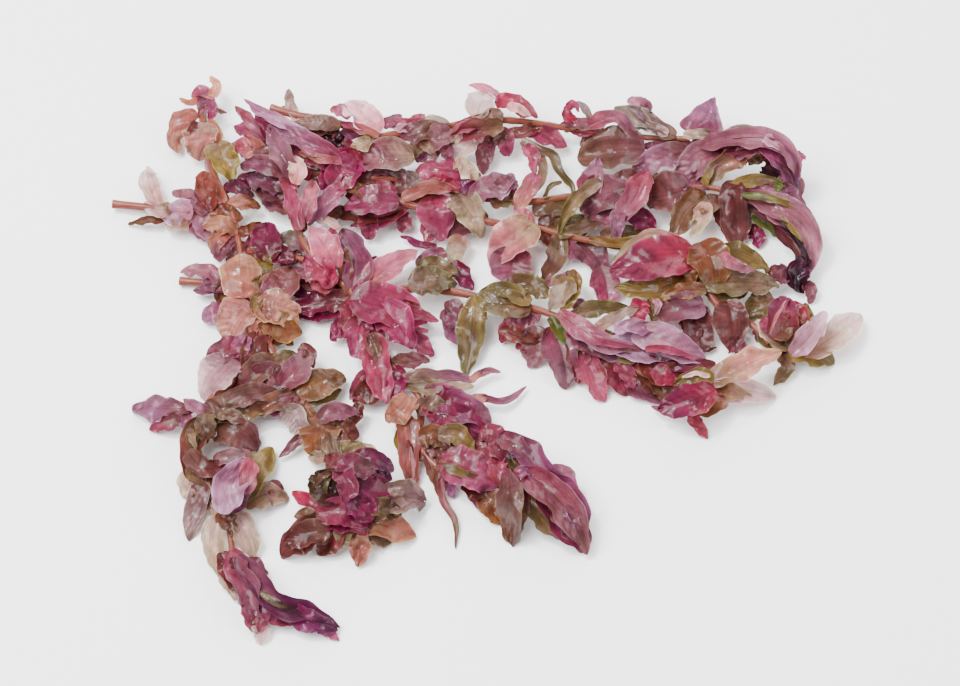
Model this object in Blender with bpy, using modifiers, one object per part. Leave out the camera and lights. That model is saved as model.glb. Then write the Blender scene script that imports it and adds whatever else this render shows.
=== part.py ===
"""A clump of rotala, a red-leaved stem plant for aquariums, lying wet on a flat surface.

The stems fan out from a crowded crown. Each leaf is a thin sheet that lies over the stems and leaves
under it, as wet leaves do. The tips of the stems are furled bundles of young leaves, made as one solid each.
"""
import math

import bmesh
import bpy
import numpy as np
from mathutils import Vector

MM = 0.001

# The view in which places were read from the picture: its middle, its scale and how steeply it looks down.
PICTURE_MIDDLE = (480, 343)
PIXEL_SIZE = 0.33 * MM
VIEW_DISTANCE = 950 * MM
VIEW_ELEVATION = math.radians(60)
AIM = Vector((-0.5 * MM, 1.0 * MM, 0))

STEM_RADIUS = 1.35 * MM
STEM_TIP_RADIUS = 0.95 * MM
STEM_STEP = 6.5 * MM

LEAF_THICKNESS = 0.4 * MM
LEAF_ROWS = 6
LEAF_COLUMNS = 4
LEAF_STALK_WIDTH = 2.0 * MM
LEAF_POINT_WIDTH = 1.0 * MM
LEAF_ARCH = 1.5 * MM
LEAF_WIDEST_EARLY = 0.85
LEAF_FULLNESS = 0.8

GAP = 0.4 * MM
CELL = 0.5 * MM
FIELD = 180 * MM
SAMPLES_PER_EDGE = 12
TIP_SHARE_OF_HEIGHT = 0.98
ROUGHNESS = 0.35

SALMON = (0.62, 0.27, 0.20)
BRICK = (0.50, 0.16, 0.12)
PINK = (0.60, 0.16, 0.25)
HOT_PINK = (0.62, 0.08, 0.24)
MAGENTA = (0.42, 0.06, 0.17)
MAUVE = (0.44, 0.20, 0.27)
LILAC = (0.56, 0.30, 0.42)
PURPLE = (0.25, 0.06, 0.13)
BROWN = (0.36, 0.16, 0.09)
OLIVE = (0.34, 0.24, 0.08)
BEIGE = (0.58, 0.42, 0.32)
LIME = (0.30, 0.33, 0.03)

# Each stem's route: pixels across and down, then the height of its middle above the surface in mm.
STEMS = {
    "stem_top": [(271, 108, 13), (300, 116, 14), (337, 123, 13), (376, 136, 11), (400, 133, 10),
                 (445, 127, 10), (470, 122, 10), (503, 120, 10), (535, 123, 9), (560, 127, 8),
                 (595, 132, 8), (640, 137, 8), (690, 139, 10)],
    "stem_lower": [(296, 119, 11), (289, 150, 9), (287, 190, 9), (297, 228, 9), (310, 252, 9),
                   (330, 274, 8), (352, 293, 8), (375, 335, 7), (392, 365, 7), (405, 381, 7),
                   (419, 397, 6), (421, 418, 5), (418, 438, 5), (426, 456, 5), (445, 472, 5),
                   (475, 482, 5), (508, 486, 5)],
    "stem_upper": [(294, 168, 9), (320, 174, 9), (350, 182, 9), (375, 191, 9), (401, 202, 8),
                   (431, 210, 8), (490, 222, 7), (536, 228, 7), (560, 234, 7), (590, 241, 7),
                   (625, 248, 7), (660, 254, 8), (685, 262, 8)],
    "stem_end": [(692, 268, 8), (704, 286, 8), (724, 311, 7), (751, 324, 6), (769, 344, 6)],
    "stem_behind": [(362, 179, 8), (390, 178, 8), (430, 185, 7), (470, 195, 6), (520, 202, 6),
                    (568, 197, 6), (600, 193, 6), (640, 192, 6), (680, 189, 7), (706, 187, 8),
                    (735, 193, 9)],
    "stem_middle": [(362, 296, 8), (395, 290, 7), (425, 289, 6), (454, 292, 6), (478, 297, 6),
                    (500, 303, 6), (531, 308, 6), (550, 314, 6), (572, 324, 6), (585, 340, 5),
                    (597, 355, 5), (621, 365, 5), (650, 377, 5), (680, 388, 5), (703, 388, 5)],
    "stem_left": [(203, 102, 5), (203, 120, 6), (207, 145, 7), (215, 178, 7), (222, 192, 7),
                  (229, 206, 7), (235, 225, 7), (240, 250, 7), (245, 290, 6), (249, 318, 6)],
    "stem_left_end": [(250, 322, 6), (248, 350, 5), (234, 379, 5), (213, 398, 4), (201, 415, 4),
                      (195, 440, 4), (200, 465, 4), (212, 490, 3), (226, 515, 3), (230, 532, 3),
                      (232, 552, 3)],
    "stem_link": [(247, 252, 7), (268, 252, 6), (285, 255, 6), (305, 260, 8)],
    "stem_rosette": [(257, 315, 6), (271, 351, 6), (285, 378, 5), (300, 400, 5), (316, 418, 5),
                     (330, 440, 6), (340, 462, 8)],
    "stub_long": [(113, 204, 3), (145, 207, 4), (175, 211, 5), (205, 214, 6), (226, 214, 7)],
    "stub_short": [(180, 281, 2), (205, 283, 3), (222, 285, 5), (239, 286, 6)],
}

# Each furled tip: its route as for a stem, and its half width in mm at the start, the middle and the end.
TIPS = {
    "tip_top": ([(701, 141, 10), (725, 138, 15), (752, 136, 20), (778, 141, 22), (795, 156, 18),
                 (801, 176, 9), (798, 196, 2.6)], (2.0, 5.0, 2.2)),
    "tip_hook": ([(745, 197, 9), (765, 204, 11), (785, 214, 12), (803, 230, 11), (812, 250, 8),
                  (808, 275, 4), (807, 293, 2)], (1.8, 4.2, 1.6)),
    "tip_lower": ([(516, 487, 6), (535, 495, 7), (553, 508, 7), (570, 526, 6), (588, 551, 2)],
                  (3.0, 7.0, 1.2)),
    "tip_left": ([(233, 562, 4), (241, 580, 5), (255, 598, 5), (275, 610, 5), (300, 619, 3.6),
                  (336, 628, 1.6)], (2.5, 5.0, 1.2)),
    "tip_right": ([(777, 350, 6), (790, 335, 9), (803, 330, 9), (828, 326, 7), (857, 320, 2)],
                  (1.6, 6.0, 1.2)),
    "tip_rosette": ([(350, 472, 12), (352, 485, 10), (353, 500, 8), (352, 516, 4)], (4.0, 7.0, 2.5)),
    "tip_small": ([(203, 99, 6), (202, 92, 8), (207, 84, 9), (210, 78, 6)], (1.2, 2.6, 1.0)),
}

# Each leaf: its base and its tip (pixels across and down, height in mm), its width in pixels and its colour.
LEAVES = [
    ("leaf_round_salmon", (204, 126, 9), (200, 160, 4), 33, SALMON),
    ("leaf_olive_cup", (212, 148, 9), (237, 182, 6), 27, OLIVE),
    ("leaf_round_left", (248, 289, 9), (234, 257, 9), 40, SALMON),
    ("leaf_salmon_low", (246, 303, 8), (223, 336, 4), 35, SALMON),
    ("leaf_salmon_gloss", (253, 304, 8), (298, 330, 5), 32, SALMON),
    ("leaf_mauve_left", (242, 360, 7), (200, 394, 1), 36, MAUVE),
    ("leaf_lilac_far", (197, 414, 5), (133, 416, 0.3), 28, LILAC),
    ("leaf_brown_olive", (203, 420, 6), (284, 400, 3), 30, BROWN),
    ("leaf_hanging_pink", (203, 480, 3), (187, 540, 0.3), 18, MAUVE),
    ("leaf_lilac_left", (223, 512, 5), (252, 457, 5), 34, LILAC),
    ("leaf_olive_green", (232, 514, 3), (271, 450, 2), 26, OLIVE),
    ("leaf_brown_gloss", (298, 396, 7), (343, 376, 4), 30, BROWN),
    ("leaf_orange_brown", (316, 420, 8), (322, 460, 2), 36, BROWN),
    ("leaf_pale_pink", (337, 270, 11), (312, 227, 14), 25, PINK),
    ("leaf_salmon_pink", (360, 289, 10), (418, 252, 7), 26, PINK),
    ("leaf_magenta_mass", (350, 300, 11), (428, 322, 5), 46, HOT_PINK),
    ("leaf_ribbon", (404, 380, 8), (476, 381, 3), 15, MAUVE),
    ("leaf_magenta_low", (424, 402, 8), (490, 438, 4), 34, MAGENTA),
    ("leaf_pink_big", (441, 460, 8), (500, 492, 4), 38, PINK),
    ("leaf_brown_down", (506, 480, 6), (513, 546, 0.3), 26, BROWN),
    ("leaf_hot_pink", (462, 176, 8), (417, 171, 9), 34, HOT_PINK),
    ("leaf_heart", (430, 204, 9), (441, 236, 4), 36, PINK),
    ("leaf_beige_gloss", (457, 195, 8), (480, 238, 5), 32, BEIGE),
    ("leaf_deep_pink", (398, 202, 10), (345, 206, 8), 28, PINK),
    ("leaf_pink_beige", (535, 226, 9), (489, 264, 3), 40, BEIGE),
    ("leaf_olive_beige", (408, 286, 8), (455, 284, 5), 32, OLIVE),
    ("leaf_olive_row", (530, 309, 8), (467, 304, 7), 31, OLIVE),
    ("leaf_olive_hanging", (476, 300, 7), (466, 376, 0.3), 26, OLIVE),
    ("leaf_mauve_long", (600, 350, 7), (706, 362, 5), 30, LILAC),
    ("leaf_pale_white", (381, 134, 12), (343, 104, 14), 31, LILAC),
    ("leaf_clear_white", (469, 119, 12), (484, 94, 12), 27, BEIGE),
    ("leaf_purple_hanging", (489, 124, 10), (483, 172, 1), 20, MAGENTA),
    ("leaf_olive_big", (643, 149, 8), (579, 158, 3), 40, OLIVE),
    ("leaf_triangle", (692, 135, 11), (714, 100, 14), 30, MAUVE),
    ("leaf_brown_purple", (628, 186, 9), (581, 214, 4), 36, MAUVE),
    ("leaf_oval_hanging", (726, 186, 10), (738, 246, 1), 28, MAUVE),
    ("leaf_lime", (747, 206, 4.5), (785, 238, 1.5), 26, LIME),
    ("leaf_magenta_big", (697, 257, 12), (611, 271, 11), 44, HOT_PINK),
    ("leaf_beige_brown", (702, 284, 10), (779, 288, 6), 28, BROWN),
    ("leaf_mauve_right", (722, 304, 9), (729, 352, 2), 30, MAUVE),
    ("leaf_beige_right", (709, 385, 10), (780, 352, 12), 26, BEIGE),
]
# The leaves that lie under a tip and are laid before the tips.
LEAVES_UNDER_TIPS = ("leaf_lime",)


def clear_scene():
    for thing in list(bpy.data.objects):
        bpy.data.objects.remove(thing, do_unlink=True)


def make_collection():
    collection = bpy.data.collections.new("rotala")
    bpy.context.scene.collection.children.link(collection)
    return collection


def make_material(name, colour):
    material = bpy.data.materials.new(name)
    material.use_nodes = True
    shader = material.node_tree.nodes["Principled BSDF"]
    shader.inputs["Base Color"].default_value = (*colour, 1)
    shader.inputs["Roughness"].default_value = ROUGHNESS
    shader.inputs["Metallic"].default_value = 0
    return material


def place(across, down, height):
    """The point at a height in mm that the view shows at a pixel."""
    forward = Vector((0, math.cos(VIEW_ELEVATION), -math.sin(VIEW_ELEVATION)))
    upward = Vector((0, math.sin(VIEW_ELEVATION), math.cos(VIEW_ELEVATION)))
    eye = AIM - forward * VIEW_DISTANCE
    ray = forward * VIEW_DISTANCE
    ray += Vector((1, 0, 0)) * (across - PICTURE_MIDDLE[0]) * PIXEL_SIZE
    ray += upward * (PICTURE_MIDDLE[1] - down) * PIXEL_SIZE
    return eye + ray * ((height * MM - eye.z) / ray.z)


def smooth_route(points, step):
    """Points about a step apart on a smooth curve through the given ones."""
    padded = [points[0] * 2 - points[1]] + points + [points[-1] * 2 - points[-2]]
    route = []
    for before, start, end, after in zip(padded, padded[1:], padded[2:], padded[3:]):
        count = max(1, round((end - start).length / step))
        for i in range(count):
            t = i / count
            slope = end - before
            bow = before * 2 - start * 5 + end * 4 - after
            turn = start * 3 - before - end * 3 + after
            route.append((start * 2 + slope * t + bow * t ** 2 + turn * t ** 3) / 2)
    route.append(points[-1])
    return route


class HeightMap:
    """How high the pieces laid so far reach, on a fine square grid over the surface."""

    def __init__(self):
        count = int(2 * FIELD / CELL)
        self.tops = np.zeros((count, count))

    def cell(self, x, y):
        return int((x + FIELD) / CELL), int((y + FIELD) / CELL)

    def cover(self, x, y, top, reach):
        column, row = self.cell(x, y)
        spot = self.tops[column - reach:column + reach + 1, row - reach:row + reach + 1]
        np.maximum(spot, top, out=spot)

    def top(self, x, y):
        column, row = self.cell(x, y)
        return self.tops[column, row]


def cover_tube(heights, route, radii):
    """Marks what a tube covers, with a margin of one gap round it."""
    for start, end, radius, next_radius in zip(route, route[1:], radii, radii[1:]):
        steps = max(1, int((end - start).length / CELL))
        for i in range(steps + 1):
            point = start.lerp(end, i / steps)
            reach_radius = radius + (next_radius - radius) * i / steps
            reach = int((reach_radius + GAP) / CELL) + 1
            heights.cover(point.x, point.y, point.z + reach_radius, reach)


def triangle_samples(corners):
    """Points spread over a triangle, edges and corners included."""
    a, b, c = corners
    for i in range(SAMPLES_PER_EDGE + 1):
        for j in range(SAMPLES_PER_EDGE + 1 - i):
            s = i / SAMPLES_PER_EDGE
            t = j / SAMPLES_PER_EDGE
            yield a * (1 - s - t) + b * s + c * t


def lay_over(heights, mesh):
    """Lifts a sheet's points so that no part of it is lower than what it lies on."""
    clearance = LEAF_THICKNESS / 2 + GAP
    lifts = {vertex: 0.0 for vertex in mesh.verts}
    for face in mesh.faces:
        for sample in triangle_samples([vertex.co for vertex in face.verts]):
            floor = clearance if heights.top(sample.x, sample.y) > 0 else LEAF_THICKNESS / 2
            lack = heights.top(sample.x, sample.y) + floor - sample.z
            for vertex in face.verts:
                lifts[vertex] = max(lifts[vertex], lack)
    for vertex, lift in lifts.items():
        vertex.co.z += lift
    for face in mesh.faces:
        for sample in triangle_samples([vertex.co for vertex in face.verts]):
            heights.cover(sample.x, sample.y, sample.z + LEAF_THICKNESS / 2, 1)


def add_tube(name, route, radii, collection, material):
    """A curve object with round section, filled ends and a radius at each point."""
    curve = bpy.data.curves.new(name, "CURVE")
    curve.dimensions = "3D"
    curve.bevel_depth = max(radii)
    curve.bevel_resolution = 2
    curve.use_fill_caps = True
    spline = curve.splines.new("POLY")
    spline.points.add(len(route) - 1)
    for point, place_on_route, radius in zip(spline.points, route, radii):
        point.co = (*place_on_route, 1)
        point.radius = radius / max(radii)
    curve.materials.append(material)
    tube = bpy.data.objects.new(name, curve)
    collection.objects.link(tube)


def add_stem(name, heights, collection, material):
    route = smooth_route([place(*point) for point in STEMS[name]], STEM_STEP)
    last = len(route) - 1
    radii = [STEM_RADIUS + (STEM_TIP_RADIUS - STEM_RADIUS) * i / last for i in range(last + 1)]
    cover_tube(heights, route, radii)
    add_tube(name, route, radii, collection, material)


def add_tip(name, heights, collection, material):
    """A furled bundle of young leaves: a tube that swells in the middle and narrows to its end."""
    points, (start_radius, middle_radius, end_radius) = TIPS[name]
    route = smooth_route([place(*point) for point in points], STEM_STEP)
    last = len(route) - 1
    radii = []
    for i in range(last + 1):
        t = i / last
        plain = start_radius + (end_radius - start_radius) * t
        swell = (middle_radius - (start_radius + end_radius) / 2) * math.sin(math.pi * t)
        radius = (plain + swell) * MM
        radii.append(min(radius, route[i].z * TIP_SHARE_OF_HEIGHT))
    cover_tube(heights, route, radii)
    add_tube(name, route, radii, collection, material)


def leaf_half_width(along, width):
    """Half the blade's width at a distance along it, from 0 at its base to 1 at its tip."""
    ends = LEAF_STALK_WIDTH * (1 - along) + LEAF_POINT_WIDTH * along
    if along == 1:
        return ends / 2
    swell = math.sin(math.pi * along ** LEAF_WIDEST_EARLY) ** LEAF_FULLNESS
    return (ends + (width - ends) * swell) / 2


def add_leaf(row, heights, collection):
    """A thin blade from its base to its tip, laid over what is under it and given its thickness."""
    name, base, tip, width_px, colour = row
    start = place(*base)
    end = place(*tip)
    sideways = (end - start).cross(Vector((0, 0, 1))).normalized()
    mesh = bmesh.new()
    bmesh.ops.create_grid(mesh, x_segments=LEAF_ROWS, y_segments=LEAF_COLUMNS, size=1)
    for vertex in mesh.verts:
        along = (vertex.co.x + 1) / 2
        across = vertex.co.y
        half_width = leaf_half_width(along, width_px * PIXEL_SIZE)
        vertex.co = start.lerp(end, along) + sideways * across * half_width
        vertex.co.z += LEAF_ARCH * math.sin(math.pi * along)
    bmesh.ops.triangulate(mesh, faces=mesh.faces)
    lay_over(heights, mesh)
    bmesh.ops.recalc_face_normals(mesh, faces=mesh.faces)
    blade = bpy.data.meshes.new(name)
    mesh.to_mesh(blade)
    mesh.free()
    blade.materials.append(make_material(name, colour))
    leaf = bpy.data.objects.new(name, blade)
    collection.objects.link(leaf)
    solidify = leaf.modifiers.new("Thickness", "SOLIDIFY")
    solidify.thickness = LEAF_THICKNESS
    solidify.offset = 0


def main():
    clear_scene()
    collection = make_collection()
    heights = HeightMap()
    for name in STEMS:
        add_stem(name, heights, collection, make_material(name, BRICK))
    under = [row for row in LEAVES if row[0] in LEAVES_UNDER_TIPS]
    over = [row for row in LEAVES if row[0] not in LEAVES_UNDER_TIPS]
    for row in under:
        add_leaf(row, heights, collection)
    for name in TIPS:
        add_tip(name, heights, collection, make_material(name, PURPLE))
    for row in over:
        add_leaf(row, heights, collection)


main()
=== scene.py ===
"""The looks of a clump of rotala, a red-leaved stem plant for aquariums, lying wet on a pale surface.

Every leaf is a thin blade swept along a path whose places were read from the picture: pixels across
and down, then a height in mm above the surface. A leaf with a solid of its own follows that solid.
"""

import math

import bpy
import numpy as np
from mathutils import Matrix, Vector
from mathutils.bvhtree import BVHTree


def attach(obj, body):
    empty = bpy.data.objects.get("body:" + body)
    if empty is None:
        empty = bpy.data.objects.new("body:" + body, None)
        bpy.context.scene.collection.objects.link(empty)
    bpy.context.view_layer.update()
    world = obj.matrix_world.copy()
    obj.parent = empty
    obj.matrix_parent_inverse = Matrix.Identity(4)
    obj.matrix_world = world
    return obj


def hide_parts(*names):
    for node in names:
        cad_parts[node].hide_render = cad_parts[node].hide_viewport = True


MM = 0.001

# The view in which places were read from the picture.
PICTURE_SIZE = (960, 686)
PICTURE_MIDDLE = (480, 343)
PIXEL_SIZE = 0.33 * MM
VIEW_DISTANCE = 950 * MM
VIEW_ELEVATION = math.radians(60)
AIM = np.array([-0.5 * MM, 1.0 * MM, 0.0])
SENSOR_WIDTH = 36.0
WORLD_LIGHT = 0.75

LEAF_ROWS = 36
LEAF_COLUMNS = 16
LOWEST = 0.15 * MM
FACING = np.array([0.0, -0.26, 0.97])

STEM_RADIUS = 1.35 * MM
STEM_TIP_RADIUS = 0.95 * MM
STEM_SIDES = 14
STEM_STEP = 0.8 * MM
STEM_NODE_SPACING = 14 * MM

# The colour of a blade by the name of its look.
LOOKS = {
    "salmon": (0.310, 0.098, 0.074), "peach": (0.400, 0.155, 0.105), "red_salmon": (0.200, 0.038, 0.032),
    "orange": (0.140, 0.046, 0.019), "tan": (0.150, 0.086, 0.055), "gold": (0.170, 0.104, 0.027),
    "pink": (0.260, 0.038, 0.083), "pale_pink": (0.430, 0.110, 0.150), "white_pink": (0.660, 0.340, 0.410),
    "hot_pink": (0.220, 0.018, 0.063), "red_pink": (0.230, 0.012, 0.042), "rose": (0.185, 0.026, 0.058),
    "magenta": (0.125, 0.008, 0.040), "mauve": (0.155, 0.044, 0.075), "lilac": (0.240, 0.080, 0.140),
    "pale_lilac": (0.440, 0.220, 0.310), "purple": (0.078, 0.012, 0.040), "dark": (0.024, 0.004, 0.010),
    "rose_brown": (0.118, 0.033, 0.040), "red_brown": (0.100, 0.021, 0.020), "brown": (0.108, 0.044, 0.029),
    "olive": (0.102, 0.066, 0.025), "green": (0.080, 0.098, 0.013), "beige": (0.300, 0.185, 0.120),
    "clear": (0.520, 0.340, 0.300), "grey": (0.150, 0.100, 0.098), "dusty": (0.200, 0.104, 0.098),
    "umber": (0.045, 0.019, 0.010)}
CLEAR_LOOKS = ("beige", "clear", "pale_lilac")
MARGIN_SHIFT = (1.15, 1.5, 1.35)
BASE_SHIFT = (0.80, 0.50, 0.50)

STEMS = {
    "stem_top": [(271, 108, 13), (300, 116, 14), (337, 123, 13), (376, 136, 11), (400, 133, 10),
                 (445, 127, 10), (470, 122, 10), (503, 120, 10), (535, 123, 9), (560, 127, 8),
                 (595, 132, 8), (640, 137, 8), (690, 139, 10)],
    "stem_lower": [(296, 119, 11), (289, 150, 9), (287, 190, 9), (297, 228, 9), (310, 252, 9),
                   (330, 274, 8), (352, 293, 8), (375, 335, 7), (392, 365, 7), (405, 381, 7),
                   (419, 397, 6), (421, 418, 5), (418, 438, 5), (426, 456, 5), (445, 472, 5),
                   (475, 482, 5), (508, 486, 5)],
    "stem_upper": [(294, 168, 9), (320, 174, 9), (350, 182, 9), (375, 191, 9), (401, 202, 8),
                   (431, 210, 8), (490, 222, 7), (536, 228, 7), (560, 234, 7), (590, 241, 7),
                   (625, 248, 7), (660, 254, 8), (690, 265, 8)],
    "stem_end": [(690, 265, 8), (704, 286, 8), (724, 311, 7), (751, 324, 6), (769, 344, 6)],
    "stem_behind": [(362, 179, 8), (390, 178, 8), (430, 185, 7), (470, 195, 6), (520, 202, 6),
                    (568, 197, 6), (600, 193, 6), (640, 192, 6), (680, 189, 7), (706, 187, 8),
                    (735, 193, 9)],
    "stem_middle": [(362, 296, 8), (395, 290, 7), (425, 289, 6), (454, 292, 6), (478, 297, 6),
                    (500, 303, 6), (531, 308, 6), (550, 314, 6), (572, 324, 6), (585, 340, 5),
                    (597, 355, 5), (621, 365, 5), (650, 377, 5), (680, 388, 5), (703, 388, 5)],
    "stem_left": [(203, 102, 5), (203, 120, 6), (207, 145, 7), (215, 178, 7), (222, 192, 7),
                  (229, 206, 7), (235, 225, 7), (240, 250, 7), (245, 290, 6), (250, 321, 6)],
    "stem_left_end": [(250, 321, 6), (248, 350, 5), (234, 379, 5), (213, 398, 4), (201, 415, 4),
                      (195, 440, 4), (200, 465, 4), (212, 490, 3), (226, 515, 3), (230, 532, 3),
                      (232, 552, 3)],
    "stem_link": [(247, 252, 7), (268, 252, 6), (285, 255, 6), (305, 260, 8)],
    "stem_rosette": [(257, 315, 6), (271, 351, 6), (285, 378, 5), (300, 400, 5), (316, 418, 5),
                     (330, 440, 6), (340, 462, 8)],
    "stub_long": [(113, 204, 3), (145, 207, 4), (175, 211, 5), (205, 214, 6), (226, 214, 7)],
    "stub_short": [(180, 281, 2), (205, 283, 3), (222, 285, 5), (239, 286, 6)],
}


def leaf(look, width, *path, roll=0, cup=25, fold=8, wave=0.7, twist=0, rumple=0.3, pleat=0.08,
         blunt=0.6, early=0.85, base=None):
    """What one leaf is: its look, its width in pixels, its path and how its blade bends.

    Angles are in degrees and wave, rumple and pleat are in mm. A base is the look that the blade has
    where it starts, if that is another one.
    """
    return {"look": look, "width": width, "path": path, "roll": roll, "cup": cup, "fold": fold,
            "wave": wave, "twist": twist, "rumple": rumple, "pleat": pleat, "blunt": blunt,
            "early": early, "base": base}


# Leaves that have a solid of their own, by that solid's name.
OWN_LEAVES = {
    "leaf_round_salmon": leaf("salmon", 36, (204, 123, 9), (199, 161, 4), blunt=1.0, early=1.0,
                              base="beige"),
    "leaf_olive_cup": leaf("gold", 31, (217, 147, 9), (232, 183, 6), blunt=0.8, cup=55, base="tan"),
    "leaf_round_left": leaf("peach", 44, (243, 298, 9), (239, 254, 9), blunt=1.0, early=1.0, cup=-30,
                            wave=0.3),
    "leaf_salmon_low": leaf("peach", 40, (248, 301, 8), (224, 340, 4), blunt=0.9, pleat=0.3,
                            base="salmon"),
    "leaf_salmon_gloss": leaf("peach", 36, (255, 304, 8), (299, 324, 5), pleat=0.25, base="orange"),
    "leaf_mauve_left": leaf("pale_lilac", 42, (231, 357, 7), (204, 401, 1), blunt=0.8, pleat=0.2,
                            base="mauve"),
    "leaf_lilac_far": leaf("lilac", 26, (192, 411, 5), (132, 410, 0.3), early=1.4, wave=1.6,
                           base="red_brown"),
    "leaf_brown_olive": leaf("brown", 36, (203, 418, 6), (284, 400, 3), wave=1.2, base="olive"),
    "leaf_hanging_pink": leaf("dusty", 21, (204, 482, 3), (188, 541, 0.3), wave=0.8, pleat=0.2),
    "leaf_lilac_left": leaf("lilac", 38, (223, 514, 5), (252, 457, 5), wave=1.2, base="mauve"),
    "leaf_olive_green": leaf("gold", 30, (240, 508, 3), (273, 448, 2), wave=1.0, rumple=0.1,
                             base="olive"),
    "leaf_brown_gloss": leaf("brown", 33, (298, 396, 7), (345, 376, 4), base="orange"),
    "leaf_orange_brown": leaf("orange", 38, (319, 415, 8), (319, 459, 2), blunt=0.9, cup=-30,
                              base="brown"),
    "leaf_pale_pink": leaf("pale_pink", 29, (337, 270, 11), (311, 226, 14)),
    "leaf_salmon_pink": leaf("pale_pink", 28, (360, 289, 10), (418, 250, 7), blunt=0.4, pleat=0.2),
    "leaf_magenta_mass": leaf("hot_pink", 50, (350, 300, 11), (428, 322, 5), wave=1.3, base="magenta"),
    "leaf_ribbon": leaf("mauve", 17, (404, 380, 8), (476, 381, 3), fold=30, pleat=0.25, base="tan"),
    "leaf_magenta_low": leaf("magenta", 38, (424, 402, 8), (490, 438, 4), wave=1.2),
    "leaf_pink_big": leaf("rose", 44, (441, 458, 8), (500, 490, 4), wave=1.2),
    "leaf_brown_down": leaf("brown", 25, (508, 480, 6), (513, 547, 0.3), pleat=0.3, rumple=0.1,
                            base="rose_brown"),
    "leaf_hot_pink": leaf("pink", 36, (462, 174, 8), (417, 169, 9), blunt=1.0, early=1.0, cup=-40,
                          base="hot_pink"),
    "leaf_heart": leaf("pink", 38, (432, 197, 9), (442, 241, 4)),
    "leaf_beige_gloss": leaf("beige", 34, (455, 194, 8), (481, 238, 5), pleat=0.25, base="tan"),
    "leaf_deep_pink": leaf("pink", 32, (399, 202, 10), (344, 208, 8), base="rose"),
    "leaf_pink_beige": leaf("pale_pink", 44, (535, 222, 9), (489, 264, 3), blunt=0.7, base="beige"),
    "leaf_olive_beige": leaf("olive", 34, (408, 286, 8), (457, 284, 5), base="tan"),
    "leaf_olive_row": leaf("olive", 33, (531, 309, 8), (466, 304, 7), pleat=0.2),
    "leaf_olive_hanging": leaf("olive", 28, (476, 300, 7), (466, 376, 0.3), wave=1.2, base="gold"),
    "leaf_mauve_long": leaf("lilac", 32, (602, 347, 7), (706, 360, 5), pleat=0.4, fold=20,
                            base="pale_lilac"),
    "leaf_pale_white": leaf("white_pink", 31, (381, 134, 12), (343, 104, 14), cup=45, rumple=0.4,
                            blunt=0.5),
    "leaf_clear_white": leaf("clear", 30, (476, 120, 12), (485, 92, 12), cup=45, blunt=0.8, base="beige"),
    "leaf_purple_hanging": leaf("mauve", 22, (489, 127, 10), (482, 174, 1), pleat=0.3, base="magenta"),
    "leaf_olive_big": leaf("brown", 46, (645, 150, 8), (577, 158, 3), blunt=1.0, base="rose_brown"),
    "leaf_triangle": leaf("lilac", 42, (698, 139, 11), (715, 97, 14), early=0.36, blunt=0, wave=0.3),
    "leaf_brown_purple": leaf("rose_brown", 40, (630, 184, 9), (580, 212, 4), base="mauve"),
    "leaf_oval_hanging": leaf("rose_brown", 33, (730, 182, 10), (738, 248, 1), blunt=0.8, early=1.1),
    "leaf_lime": leaf("green", 30, (744, 202, 4.5), (786, 239, 1.5), blunt=0.3),
    "leaf_magenta_big": leaf("magenta", 48, (698, 257, 11), (609, 272, 11), pleat=0.3, wave=0.5,
                             base="red_pink"),
    "leaf_beige_brown": leaf("tan", 32, (702, 284, 10), (780, 286, 6), wave=1.2, pleat=0.2, base="olive"),
    "leaf_mauve_right": leaf("rose_brown", 35, (727, 301, 9), (734, 353, 2), early=0.8, rumple=0.1),
    "leaf_beige_right": leaf("peach", 29, (706, 384, 10), (782, 351, 12), wave=1.0, base="tan"),
}


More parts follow.
